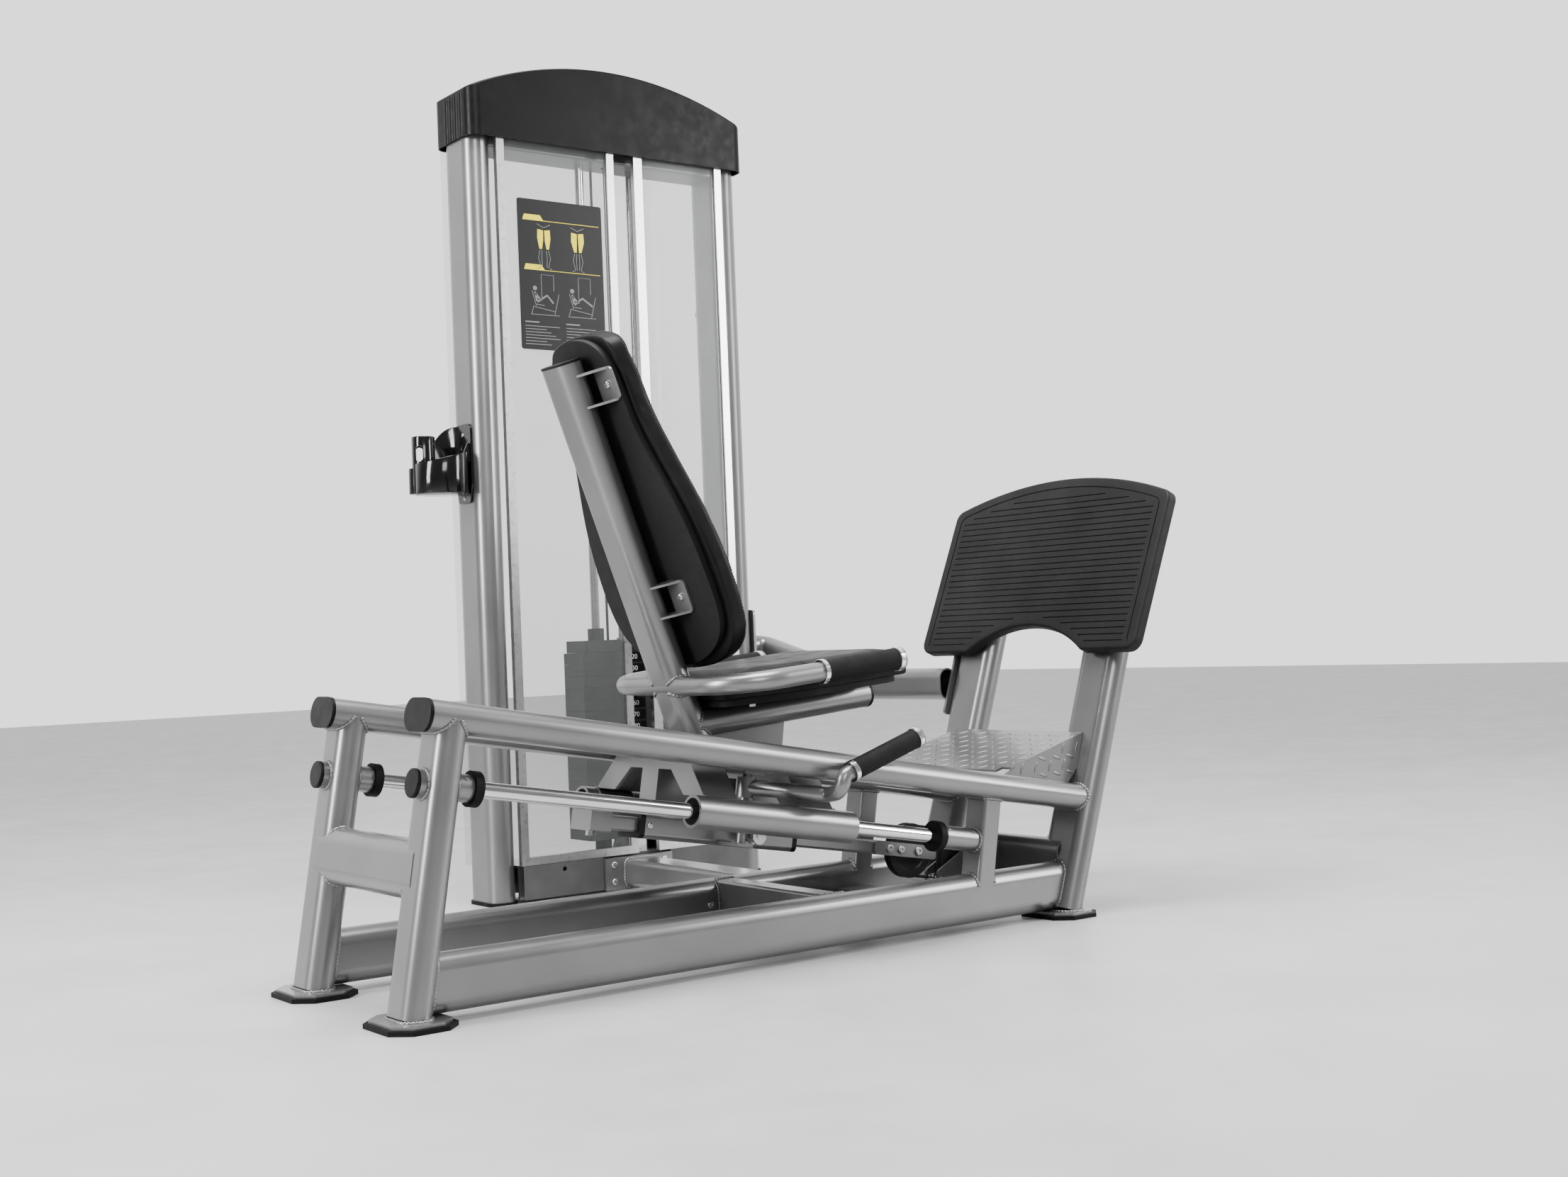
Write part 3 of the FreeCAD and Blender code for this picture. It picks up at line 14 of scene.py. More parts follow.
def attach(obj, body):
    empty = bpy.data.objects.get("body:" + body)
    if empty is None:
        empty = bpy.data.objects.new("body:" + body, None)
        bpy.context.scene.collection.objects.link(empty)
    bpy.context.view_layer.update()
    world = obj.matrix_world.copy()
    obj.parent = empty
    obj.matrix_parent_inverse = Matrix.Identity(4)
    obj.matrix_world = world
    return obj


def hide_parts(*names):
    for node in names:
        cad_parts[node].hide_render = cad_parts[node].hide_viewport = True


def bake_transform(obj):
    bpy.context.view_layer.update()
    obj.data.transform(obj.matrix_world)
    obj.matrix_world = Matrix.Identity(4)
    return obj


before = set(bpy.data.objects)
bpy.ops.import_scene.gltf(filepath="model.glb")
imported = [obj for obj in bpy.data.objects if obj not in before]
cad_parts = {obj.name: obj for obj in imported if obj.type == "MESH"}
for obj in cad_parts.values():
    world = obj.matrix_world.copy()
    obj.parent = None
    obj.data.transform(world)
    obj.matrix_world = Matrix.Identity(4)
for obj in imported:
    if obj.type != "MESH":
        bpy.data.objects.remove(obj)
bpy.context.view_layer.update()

MM = 0.001
FOOTPRINT_MIDDLE = Vector((-236.15, 320.97, 0))
RAIL_SLOPE = 9.87
SIDE_Y = 172.6
X, Y, Z = Vector((1, 0, 0)), Vector((0, 1, 0)), Vector((0, 0, 1))


def turned(degrees, axis):
    return Matrix.Rotation(math.radians(degrees), 4, axis)


def local(x, y, z, lean=0.0):
    """Matrix from millimetres in a leaning local frame to metres in the row frame."""
    place = Matrix.Translation((Vector((x, y, z)) - FOOTPRINT_MIDDLE) * MM)
    return place @ turned(lean, "Y") @ Matrix.Scale(MM, 4)


LEVEL = local(0, 0, 0)
SLOPE = local(-333.5, 0, 236, RAIL_SLOPE)       # X down the rails, Z square to them
SEAT = local(0, 0, 451, -5.0)
BACK = local(-410, 0, 467, -19.97)              # Z up the back post
POST = local(314, 0, 8, 18.47)                  # Z up the front posts
BOARD = local(413, 0, 490, 22.6)                # Z up the foot board's front face


def at(x, y, z):
    return LEVEL @ Vector((x, y, z))


# ---- materials ----
class Shader:
    """A Principled material whose textures read the object's own coordinates, in metres."""

    def __init__(self, name, **sockets):
        self.material = bpy.data.materials.new(name)
        self.material.use_nodes = True
        self.tree = self.material.node_tree
        self.bsdf = self.tree.nodes["Principled BSDF"]
        self.coords = self.tree.nodes.new("ShaderNodeTexCoord").outputs["Object"]
        for socket, value in sockets.items():
            self.bsdf.inputs[socket.replace("_", " ")].default_value = value

    def node(self, kind, **inputs):
        node = self.tree.nodes.new(kind)
        for name, value in inputs.items():
            self.feed(node.inputs[name.replace("_", " ")], value)
        return node

    def feed(self, socket, value):
        if isinstance(value, bpy.types.NodeSocket):
            self.tree.links.new(value, socket)
        else:
            socket.default_value = value

    def stretched(self, scale):
        mapping = self.node("ShaderNodeMapping", Vector=self.coords)
        mapping.inputs["Scale"].default_value = scale
        return mapping.outputs["Vector"]

    def noise(self, scale, detail=2.0, roughness=0.5, vector=None):
        return self.node("ShaderNodeTexNoise", Vector=vector or self.coords, Scale=scale, Detail=detail,
                         Roughness=roughness).outputs["Fac"]

    def cells(self, scale):
        return self.node("ShaderNodeTexVoronoi", Vector=self.coords, Scale=scale).outputs["Distance"]

    def spread(self, value, low, high, start=0.3, end=0.7):
        node = self.node("ShaderNodeMapRange", Value=value)
        for name, number in (("From Min", start), ("From Max", end), ("To Min", low), ("To Max", high)):
            node.inputs[name].default_value = number
        return node.outputs["Result"]

    def blend(self, factor, first, second):
        node = self.tree.nodes.new("ShaderNodeMix")
        node.data_type = "RGBA"
        self.feed(node.inputs["Factor"], factor)
        self.feed(node.inputs[6], first)
        self.feed(node.inputs[7], second)
        return node.outputs[2]

    def colour(self, value):
        self.feed(self.bsdf.inputs["Base Color"], value)

    def rough(self, value):
        self.feed(self.bsdf.inputs["Roughness"], value)

    def bump(self, height, strength, distance, under=None):
        """Bump over an earlier bump, if one is given; the last one drives the shader."""
        node = self.node("ShaderNodeBump", Height=height, Strength=strength, Distance=distance)
        if under is not None:
            self.feed(node.inputs["Normal"], under)
        self.feed(self.bsdf.inputs["Normal"], node.outputs["Normal"])
        return node.outputs["Normal"]


def grey(value, tint=0.0):
    return (value, value, value * (1 + tint), 1)


def paint(name, level):
    """Silver powder coat: fine metal flake, faint orange peel, a thin clear gloss."""
    s = Shader(name, Metallic=0.72, Coat_Weight=0.35, Coat_Roughness=0.16)
    flake = s.noise(1500, 2)
    drift = s.noise(7, 3)
    base = s.blend(s.spread(drift, 0, 1), grey(level * 0.93, 0.01), grey(level * 1.06, 0.005))
    s.colour(s.blend(s.spread(flake, 0, 0.2, 0.45, 0.75), base, grey(min(level * 1.5, 0.95))))
    s.rough(s.spread(s.noise(12, 1), 0.31, 0.35))
    s.bump(s.noise(420, 2), 0.05, 0.0006)
    return s.material


def plastic(name, level, rough, grain, depth, **sockets):
    """Moulded plastic or rubber with a fine grain and a little unevenness."""
    s = Shader(name, **sockets)
    drift = s.spread(s.noise(11, 4), 0, 1)
    s.colour(s.blend(drift, grey(level * 0.82, 0.02), grey(level * 1.2, 0.02)))
    s.rough(s.spread(s.noise(45, 3), rough - 0.05, rough + 0.06))
    s.bump(s.noise(grain, 3, 0.6), depth, 0.0006)
    return s.material


def metal(name, level, rough_low, rough_high, stretch):
    """Bare metal with faint lines along its length."""
    s = Shader(name, Metallic=1.0)
    lines = s.noise(90, 3, 0.6, s.stretched(stretch))
    s.colour(s.blend(s.spread(lines, 0, 1), grey(level * 0.9), grey(level * 1.05)))
    s.rough(s.spread(lines, rough_low, rough_high))
    s.bump(lines, 0.03, 0.0003)
    return s.material


def vinyl():
    """Black upholstery vinyl: pebbled grain, soft creases, a low sheen."""
    s = Shader("black_vinyl", Specular_IOR_Level=0.26, Coat_Weight=0.08, Coat_Roughness=0.25)
    pebble = s.cells(1150)
    crease = s.noise(38, 5, 0.62)
    s.colour(s.blend(s.spread(crease, 0, 1), grey(0.004), grey(0.009, 0.05)))
    s.rough(s.spread(s.noise(24, 4), 0.38, 0.52))
    s.bump(crease, 0.12, 0.002, under=s.bump(pebble, 0.16, 0.0004))
    return s.material


def clear_sheet():
    """Clear acrylic with a slight haze, so that what stands behind it looks paler."""
    s = Shader("clear_acrylic", Alpha=0.12, IOR=1.49)
    haze = s.noise(5, 3)
    s.colour(s.blend(s.spread(haze, 0, 1), (0.42, 0.43, 0.435, 1), (0.5, 0.51, 0.515, 1)))
    s.rough(s.spread(haze, 0.05, 0.12))
    s.bump(s.noise(3, 1), 0.02, 0.002)
    return s.material


def cast_iron():
    s = Shader("painted_iron", Specular_IOR_Level=0.4)
    pits = s.noise(170, 5, 0.65)
    s.colour(s.blend(s.spread(s.noise(16, 3), 0, 1), grey(0.035), grey(0.055)))
    s.rough(s.spread(pits, 0.42, 0.6))
    s.bump(pits, 0.25, 0.0008)
    return s.material


def coated_cable():
    """Nylon coating over laid steel strands, which show as a faint twist."""
    s = Shader("coated_cable")
    wave = s.tree.nodes.new("ShaderNodeTexWave")
    s.feed(wave.inputs["Vector"], s.stretched((1, 1, 0.5)))
    wave.bands_direction = "DIAGONAL"
    wave.inputs["Scale"].default_value = 120
    s.colour(s.blend(wave.outputs["Fac"], grey(0.01), grey(0.03)))
    s.rough(s.spread(s.noise(200), 0.25, 0.4))
    s.bump(wave.outputs["Fac"], 0.2, 0.0005)
    return s.material


def flat_ink(name, colour, rough=0.35):
    """Printed ink with a slightly uneven film."""
    s = Shader(name)
    deep = tuple(c * 0.88 for c in colour[:3]) + (1,)
    s.colour(s.blend(s.spread(s.noise(300, 2), 0, 1), deep, colour))
    s.rough(s.spread(s.noise(80), rough - 0.01, rough + 0.02))
    return s.material


SILVER = paint("silver_powder_coat", 0.27)
CHARCOAL = plastic("charcoal_plastic", 0.006, 0.36, 900, 0.2, Specular_IOR_Level=0.28)
BLACK_PLASTIC = plastic("black_plastic", 0.009, 0.45, 1100, 0.2, Specular_IOR_Level=0.4)
GREY_SHEET = plastic("grey_sheet", 0.115, 0.5, 1400, 0.12)
GLOSS_BLACK = plastic("gloss_black", 0.007, 0.14, 60, 0.03, Coat_Weight=0.6, Coat_Roughness=0.05)
RUBBER = plastic("black_rubber", 0.007, 0.6, 1300, 0.3, Specular_IOR_Level=0.3)
BOARD_RUBBER = plastic("board_rubber", 0.021, 0.55, 1500, 0.28, Specular_IOR_Level=0.32)
FOAM = plastic("foam_rubber", 0.007, 0.62, 2400, 0.5, Specular_IOR_Level=0.35)
NYLON = plastic("black_nylon", 0.035, 0.42, 700, 0.12)
BACKING = plastic("black_backing", 0.010, 0.6, 1700, 0.3)
CHROME = metal("ground_chrome", 0.78, 0.05, 0.11, (0.06, 1, 1))
STEEL = metal("zinc_steel", 0.62, 0.2, 0.34, (1, 1, 1))
ALUMINIUM = metal("satin_aluminium", 0.7, 0.27, 0.31, (1, 1, 1))
POLISHED = metal("polished_collar", 0.86, 0.1, 0.2, (1, 1, 1))
VINYL = vinyl()
CLEAR = clear_sheet()
IRON = cast_iron()
CABLE = coated_cable()
THREAD = flat_ink("grey_thread", (0.16, 0.16, 0.165, 1), 0.6)
INK_BLACK = flat_ink("placard_black", (0.008, 0.008, 0.009, 1), 0.4)
INK_YELLOW = flat_ink("placard_yellow", (0.86, 0.72, 0.06, 1))
INK_GREY = flat_ink("placard_grey", (0.22, 0.22, 0.22, 1))
INK_WHITE = flat_ink("number_white", (0.82, 0.82, 0.82, 1), 0.4)

NODE_MATERIALS = (
    (SILVER, "bottom_rails rear_posts upper_rails front_posts frame_struts floor_plates "
     "shaft_sockets step_plate bearing_housings carriage_frame adjuster_sleeve handle_bar "
     "back_post seat_tube carriage_brackets adjuster_bar lever_tube connecting_tube "
     "brace_tube mounting_plates tower_posts tower_beams pulley_brackets"),
    (RUBBER, "rubber_feet rubber_stops"),
    (CHARCOAL, "frame_end_caps cowl"),
    (CHROME, "guide_shafts guide_rods"),
    (STEEL, "linear_bearings carriage_bolts adjuster_bolts lock_plunger selector_stem "
     "pulley_axles frame_bolts"),
    (BLACK_PLASTIC, "sleeve_bushings carriage_end_caps selector_pin"),
    (FOAM, "handle_grips lever_grip"),
    (BACKING, "pad_boards"),
    (NYLON, "travelling_pulley front_pulley turning_pulley base_pulley top_pulley"),
    (GLOSS_BLACK, "cup_holder"),
    (GREY_SHEET, "base_cover"),
    (ALUMINIUM, "shield_trims"),
    (CLEAR, "clear_shields"),
    (IRON, "resting_plates lifted_plates head_plate"),
    (CABLE, "travel_cable base_cable lift_cable"),
    (VINYL, "seat_pad back_pad"),
    (BOARD_RUBBER, "foot_board"),
)


def paint_nodes():
    for material, names in NODE_MATERIALS:
        for node in names.split():
            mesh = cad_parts[node].data
            mesh.materials.clear()
            mesh.materials.append(material)


# ---- mesh helpers ----
def linked(name, data):
    """A new object in the scene."""
    made = bpy.data.objects.new(name, data)
    bpy.context.scene.collection.objects.link(made)
    return made


class Piece:
    """Gathers vertices and faces, then makes one object that rides on a body."""

    def __init__(self, name, body, material, slot=None):
        self.name, self.body, self.material, self.slot = name, body, material, slot
        self.vertices, self.faces = [], []

    def add(self, vertices, faces, matrix=None):
        start = len(self.vertices)
        self.vertices += [matrix @ Vector(v) if matrix else Vector(v) for v in vertices]
        self.faces += [tuple(i + start for i in face) for face in faces]

    def make(self, smooth=True, sharp=None, ride=True):
        mesh = bpy.data.meshes.new(self.name)
        mesh.from_pydata(self.vertices, [], self.faces)
        mesh.validate()
        mesh.update()
        piece = linked(self.name, mesh)
        mesh.materials.append(self.material)
        for polygon in mesh.polygons:
            polygon.use_smooth = smooth
        if sharp:
            mesh.set_sharp_from_angle(angle=math.radians(sharp))
        if ride:
            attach(piece, self.body)
        return piece


def resample(points, step, closed=False):
    """Points spaced evenly along a polyline."""
    line = [Vector(p) for p in points]
    if closed:
        line.append(line[0])
    lengths = [0.0]
    for a, b in zip(line, line[1:]):
        lengths.append(lengths[-1] + (b - a).length)
    count = max(int(round(lengths[-1] / step)), 3)
    result, k = [], 0
    for i in range(count if closed else count + 1):
        want = lengths[-1] * i / count
        while k < len(lengths) - 2 and lengths[k + 1] < want:
            k += 1
        span = max(lengths[k + 1] - lengths[k], 1e-9)
        result.append(line[k].lerp(line[k + 1], (want - lengths[k]) / span))
    return result


def sweep(points, radius, sides=8, closed=False, ripple=0.0, pitch=0.005):
    """A tube along points, with an optional ripple like the scales of a weld bead."""
    vertices, faces = [], []
    normal, length, count = None, 0.0, len(points)
    for i, point in enumerate(points):
        before = points[i - 1] if i or closed else point
        after = points[(i + 1) % count] if i < count - 1 or closed else point
        tangent = (after - before).normalized()
        normal = tangent.orthogonal() if normal is None else normal
        normal = (normal - tangent * normal.dot(tangent)).normalized()
        side = tangent.cross(normal)
        length += (point - points[i - 1]).length if i else 0.0
        reach = radius * (1 + ripple * math.sin(2 * math.pi * length / pitch))
        for k in range(sides):
            turn = 2 * math.pi * k / sides
            vertices.append(point + (normal * math.cos(turn) + side * math.sin(turn)) * reach)
    for i in range(count if closed else count - 1):
        j = (i + 1) % count
        for k in range(sides):
            m = (k + 1) % sides
            faces.append((i * sides + k, i * sides + m, j * sides + m, j * sides + k))
    if not closed:
        faces.append(tuple(reversed(range(sides))))
        faces.append(tuple((count - 1) * sides + k for k in range(sides)))
    return vertices, faces


def lathe(profile, sides=48):
    """A closed ring of revolution about Z from a closed (radius, height) profile."""
    vertices, faces = [], []
    rows = len(profile)
    for k in range(sides):
        turn = 2 * math.pi * k / sides
        vertices += [Vector((r * math.cos(turn), r * math.sin(turn), h)) for r, h in profile]
    for k in range(sides):
        m = (k + 1) % sides
        for i in range(rows):
            j = (i + 1) % rows
            faces.append((k * rows + i, m * rows + i, m * rows + j, k * rows + j))
    return vertices, faces


def facing(start, end):
    """Matrix with its Z axis from one point to another, in millimetres."""
    turn = (end - start).to_track_quat("Z", "Y").to_matrix().to_4x4()
    return Matrix.Translation(start) @ turn @ Matrix.Scale(MM, 4)


def slab(outline, depth, place):
    """A flat plate from an outline in the local XZ plane, with its depth along local Y."""
    count = len(outline)
    vertices = [place @ Vector((x, 0, z)) for x, z in outline]
    vertices += [place @ Vector((x, depth, z)) for x, z in outline]
    faces = [tuple(range(count)), tuple(reversed(range(count, 2 * count)))]
    for i in range(count):
        j = (i + 1) % count
        faces.append((j, i, count + i, count + j))
    return vertices, faces


def corner_arc(before, corner, after, radius, steps):
    """Points of the arc that rounds the corner between two neighbours."""
    u = (before - corner).normalized()
    v = (after - corner).normalized()
    half = u.angle(v) / 2
    centre = corner + (u + v).normalized() * (radius / math.sin(half))
    first = (corner + u * (radius / math.tan(half)) - centre).normalized()
    last = (corner + v * (radius / math.tan(half)) - centre).normalized()
    return [centre + first.slerp(last, k / steps) * radius for k in range(steps + 1)]


def rounded(points, radii, steps=6):
    """A polygon's outline, as (x, y) points, with rounded corners."""
    corners = [Vector((*p, 0)) for p in points]
    radii = radii if isinstance(radii, list) else [radii] * len(points)
    result = []
    for i, corner in enumerate(corners):
        after = corners[(i + 1) % len(corners)]
        result += corner_arc(corners[i - 1], corner, after, radii[i], steps)
    return [(p.x, p.y) for p in result]


def node_tree(*names):
    """Ray-casting tree of CAD nodes."""
    vertices, faces = [], []
    for name in names:
        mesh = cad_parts[name].data
        start = len(vertices)
        vertices += [v.co.copy() for v in mesh.vertices]
        faces += [tuple(i + start for i in p.vertices) for p in mesh.polygons]
    return BVHTree.FromPolygons(vertices, faces)


# ---- weld beads ----
def oval_ring(wide, thin, radius, count=120):
    """Points round a rounded rectangle, as (along wide, along thin)."""
    w, t = wide / 2 - radius, thin / 2 - radius
    points = []
    for cx, cy, start in ((w, t, 0), (-w, t, 90), (-w, -t, 180), (w, -t, 270)):
        for k in range(13):
            turn = math.radians(start + 90 * k / 12)
            points.append(Vector((cx + radius * math.cos(turn), cy + radius * math.sin(turn), 0)))
    return resample(points, (2 * (wide + thin)) / count, closed=True)


# width, thickness and corner radius of the tubes
OVAL = (84, 48, 23.9)
POST_OVAL = (100, 50, 24.9)
BASE_OVAL = (88, 50, 24.9)
CROSS_OVAL = (90, 42, 20.9)
SOCKET = (42, 42, 20.9)
SUPPORT = (50, 40, 5)
MIDDLE = (68, 44, 5)
LINK = (80, 58, 12)
HANDLE = (33, 33, 16.4)


def weld(piece, matrix, centre, along, wide_axis, tube, target, reach=260, bead=3.0):
    """A bead where a tube's outline, carried along its axis, meets the target."""
    along = Vector(along)
    wide_axis = Vector(wide_axis)
    other = along.cross(wide_axis)
    direction = (matrix.to_3x3() @ along).normalized()
    run, runs = [], []
    wide, thin, radius = tube
    for p in oval_ring(wide + 1.0, thin + 1.0, radius + 0.5):
        start = matrix @ (Vector(centre) + wide_axis * p.x + other * p.y)
        hit = target.ray_cast(start, direction, reach * MM)[0]
        if hit is None or (run and (hit - run[-1]).length > 0.02):
            if len(run) > 8:
                runs.append(run)
            run = [] if hit is None else [hit]
        else:
            run.append(hit)
    if len(run) > 8:
        runs.append(run)
    closed = len(runs) == 1 and (runs[0][0] - runs[0][-1]).length < 0.008
    for points in runs:
        piece.add(*sweep(resample(points, 0.0016, closed), bead * MM, 8, closed, 0.2, 0.006))


def frame_welds():
    beads = Piece("frame_welds", "frame", SILVER, "silver_paint")
    posts_front, posts_rear = node_tree("front_posts"), node_tree("rear_posts")
    uppers, bottoms = node_tree("upper_rails"), node_tree("bottom_rails")
    struts, plates = node_tree("frame_struts"), node_tree("floor_plates")
    for side in (-1, 1):
        y = side * SIDE_Y
        weld(beads, SLOPE, (600, y, 99), X, Y, OVAL, posts_front)
        weld(beads, SLOPE, (-613.3, y, 30), Z, Y, OVAL, uppers)
        weld(beads, LEVEL, (200, y, 56.5), X, Z, BASE_OVAL, posts_front)
        weld(beads, LEVEL, (-850, y, 56.5), -X, Z, BASE_OVAL, posts_rear)
        weld(beads, SLOPE, (468.5, y, 40), Z, Y, SUPPORT, uppers)
        weld(beads, SLOPE, (468.5, y, -30), -Z, Y, SUPPORT, bottoms)
        weld(beads, SLOPE, (-613.3, y, -250), -Z, Y, OVAL, plates)
        weld(beads, POST, (0, y, 60), -Z, Y, POST_OVAL, plates)
        weld(beads, SLOPE, (-570, y, 0), -X, Y, SOCKET, posts_rear, reach=60)
        weld(beads, SLOPE, (-649, y, 0), X, Y, SOCKET, posts_rear, reach=60)
        weld(beads, SLOPE, (400, y, 0), X, Y, SOCKET, struts, reach=80)
        weld(beads, SLOPE, (-613.3, side * 90, -124), Y * side, Z, CROSS_OVAL, posts_rear)
        weld(beads, LEVEL, (343, side * 90, 94), Y * side, Z, CROSS_OVAL, posts_front)
        weld(beads, LEVEL, (-204, side * 100, 64), Y * side, Z, MIDDLE, bottoms)
    weld(beads, LEVEL, (5, 300, 42), -Y, X, LINK, bottoms)
    weld(beads, LEVEL, (5, 700, 42), Y, X, LINK, node_tree("mounting_plates"))
    beads.make()


def carriage_welds():
    beads = Piece("carriage_welds", "carriage", SILVER, "silver_paint")
    post = node_tree("back_post")
    weld(beads, SEAT, (-250, 0, -24), -X, Y, OVAL, post, bead=2.6)
    weld(beads, BACK, (0, 0, 60), -Z, Y, OVAL, node_tree("carriage_frame"), reach=190, bead=2.6)
    for side in (-1, 1):
        weld(beads, LEVEL, (-417, side * 100, 461), -Y * side, X, HANDLE, post, reach=90)
    for s in (-138, -70, 62, 130):
        for side in (-1, 1):
            line = [SLOPE @ Vector((s, side * (SIDE_Y + 27.3 * math.cos(a)), 27.3 * math.sin(a)))
                    for a in (math.radians(98 + 6 * k) for k in range(14))]
            beads.add(*sweep(resample(line, 0.0016), 2.2 * MM, 8, False, 0.16, 0.0055))
    beads.make()


# ---- upholstery ----
def offset_outline(points, inset):
    """A closed plan outline moved inwards by a distance."""
    result = []
    count = len(points)
    for i, p in enumerate(points):
        tangent = (points[(i + 1) % count] - points[i - 1]).normalized()
        result.append(p - Vector((tangent.y, -tangent.x, 0)) * inset)
    return result


def pad_shell(outline, centre, thick, seam_down, corner):
    """Rows of a padded shell from the base edge up the side, over the seam and in to the middle."""
    side_rows = [(10, 0.0), (3, 0.0), (0.6, 1.6)]
    steps = 6
    for k in range(1, steps + 1):
        side_rows.append((0, 1.6 + (thick - seam_down - 1.6) * k / steps))
    seam = len(side_rows) - 1
    for k in range(1, 5):
        turn = math.radians(90 * k / 4)
        inset = corner * (1 - math.cos(turn)) + 0.4 * k
        side_rows.append((inset, thick - seam_down + seam_down * math.sin(turn)))
    rows = [[Vector((p.x, p.y, height)) for p in offset_outline(outline, inset)]
            for inset, height in side_rows]
    inner = rows[-1]
    rings = 22
    for k in range(1, rings):
        share = 1 - k / rings
        rows.append([(centre + (p - centre) * share).xy.to_3d() + Vector((0, 0, p.z)) for p in inner])
    return rows, seam


def pad_object(name, rows, matrix, centre_height, centre):
    """The shell as a mesh; the base is closed by a flat fan."""
    count = len(rows[0])
    vertices = [matrix @ p for row in rows for p in row]
    faces = []
    for i in range(len(rows) - 1):
        for k in range(count):
            m = (k + 1) % count
            faces.append((i * count + k, i * count + m, (i + 1) * count + m, (i + 1) * count + k))
    top = len(vertices)
    vertices.append(matrix @ Vector((centre.x, centre.y, centre_height)))
    base = len(vertices)
    vertices.append(matrix @ Vector((centre.x, centre.y, 0)))
    last = (len(rows) - 1) * count
    for k in range(count):
        m = (k + 1) % count
        faces.append((last + k, last + m, top))
        faces.append((m, k, base))
    mesh = bpy.data.meshes.new(name)
    mesh.from_pydata(vertices, [], faces)
    mesh.update()
    return linked(name, mesh)


def inflate(pad, pinned, held, pressure, cap):
    """Cloth pressure swells the shell between its pinned base and its held seam; the swell is capped."""
    group = pad.vertex_groups.new(name="pin")
    group.add(pinned, 1.0, "REPLACE")
    group.add(held, 0.9, "REPLACE")
    cloth = pad.modifiers.new("Cloth", "CLOTH")
    settings = cloth.settings
    settings.quality = 6
    settings.mass = 0.25
    settings.tension_stiffness = 12
    settings.compression_stiffness = 12
    settings.shear_stiffness = 6
    settings.bending_stiffness = 1.5
    settings.use_pressure = True
    settings.uniform_pressure_force = pressure
    settings.effector_weights.gravity = 0
    settings.vertex_group_mass = "pin"
    scene = bpy.context.scene
    before = [v.co.copy() for v in pad.data.vertices]
    for step in range(1, 17):
        scene.frame_set(step)
    shaped = pad.evaluated_get(bpy.context.evaluated_depsgraph_get())
    after = [v.co.copy() for v in shaped.data.vertices]
    pad.modifiers.remove(cloth)
    for vertex, old, new in zip(pad.data.vertices, before, after):
        move = new - old
        if move.length > cap:
            move *= cap / move.length
        vertex.co = old + move
    scene.frame_set(1)
    pad.data.update()


def stitches(piece, points, outward, long=3.4, gap=5.4, thick=0.42):
    """A row of short raised threads along points."""
    line = resample(points, gap * MM / 4, closed=True)
    for i in range(0, len(line) - 3, 4):
        a, b = line[i], line[i + 3]
        direction = (b - a).normalized()
        lift = outward(a) * 0.25 * MM
        start = a + lift
        middle = start + direction * long * MM / 2 + outward(a) * 0.25 * MM
        end = start + direction * long * MM
        piece.add(*sweep([start, middle, end], thick * MM, 5))


def finish_pad(pad, rows, seam, part):
    """Pinches the seam, adds the double stitching, subdivides the pad, sets it on the carriage and hides the
    imported pad.
    """
    count = len(rows[0])
    mesh = pad.data
    ring = [mesh.vertices[seam * count + k].co.copy() for k in range(count)]
    middle = sum(ring, Vector()) / count
    for k in range(count):
        vertex = mesh.vertices[seam * count + k]
        vertex.co += (middle - vertex.co).normalized() * 1.3 * MM
    thread = Piece(f"{part}_stitching", "carriage", THREAD, "upholstery")
    for row, share in ((seam - 1, 0.45), (seam + 1, 0.55)):
        line = []
        for k in range(count):
            a = mesh.vertices[seam * count + k].co
            b = mesh.vertices[row * count + k].co
            line.append(a.lerp(b, share))
        stitches(thread, line, lambda p: (p - middle).normalized())
    thread.make()
    for polygon in mesh.polygons:
        polygon.use_smooth = True
    mesh.materials.append(VINYL)
    level = pad.modifiers.new("Subdivision", "SUBSURF")
    level.levels = level.render_levels = 1
    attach(pad, "carriage")
    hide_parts(f"{part}_pad")


def cushion(part, plan, centre, matrix, thick, seam_down, corner, swell):
    """A whole pad on the carriage: shell, cloth swell, seam and stitching."""
    rows, seam = pad_shell(plan, centre, thick, seam_down, corner)
    pad = pad_object(f"{part}_cushion", rows, matrix, thick, centre)
    count = len(plan)
    pinned = list(range(3 * count)) + [len(pad.data.vertices) - 1]
    held = list(range(seam * count, (seam + 1) * count))
    inflate(pad, pinned, held, 2.2, swell * MM)
    finish_pad(pad, rows, seam, part)


def seat_pad():
    front, rear, wide, narrow = -10, -376, 163, 106
    corners = [(front, -wide), (front, wide), (-235, wide), (rear, narrow), (rear, -narrow), (-235, -wide)]
    radii = [20, 20, 120, 34, 34, 120]
    plan = [Vector((*p, 0)) for p in rounded(corners, radii, 8)]
    plan = resample(plan, 5.2, closed=True)
    matrix = SEAT @ Matrix.Translation((0, 0, 14.3))
    cushion("seat", plan, Vector((-190, 0, 0)), matrix, 41, 9, 9, 8)


BACK_OUTLINE = [(104, 20), (166, 66), (181, 165), (168, 268), (135, 372), (113, 450), (106, 528), (84, 586)]


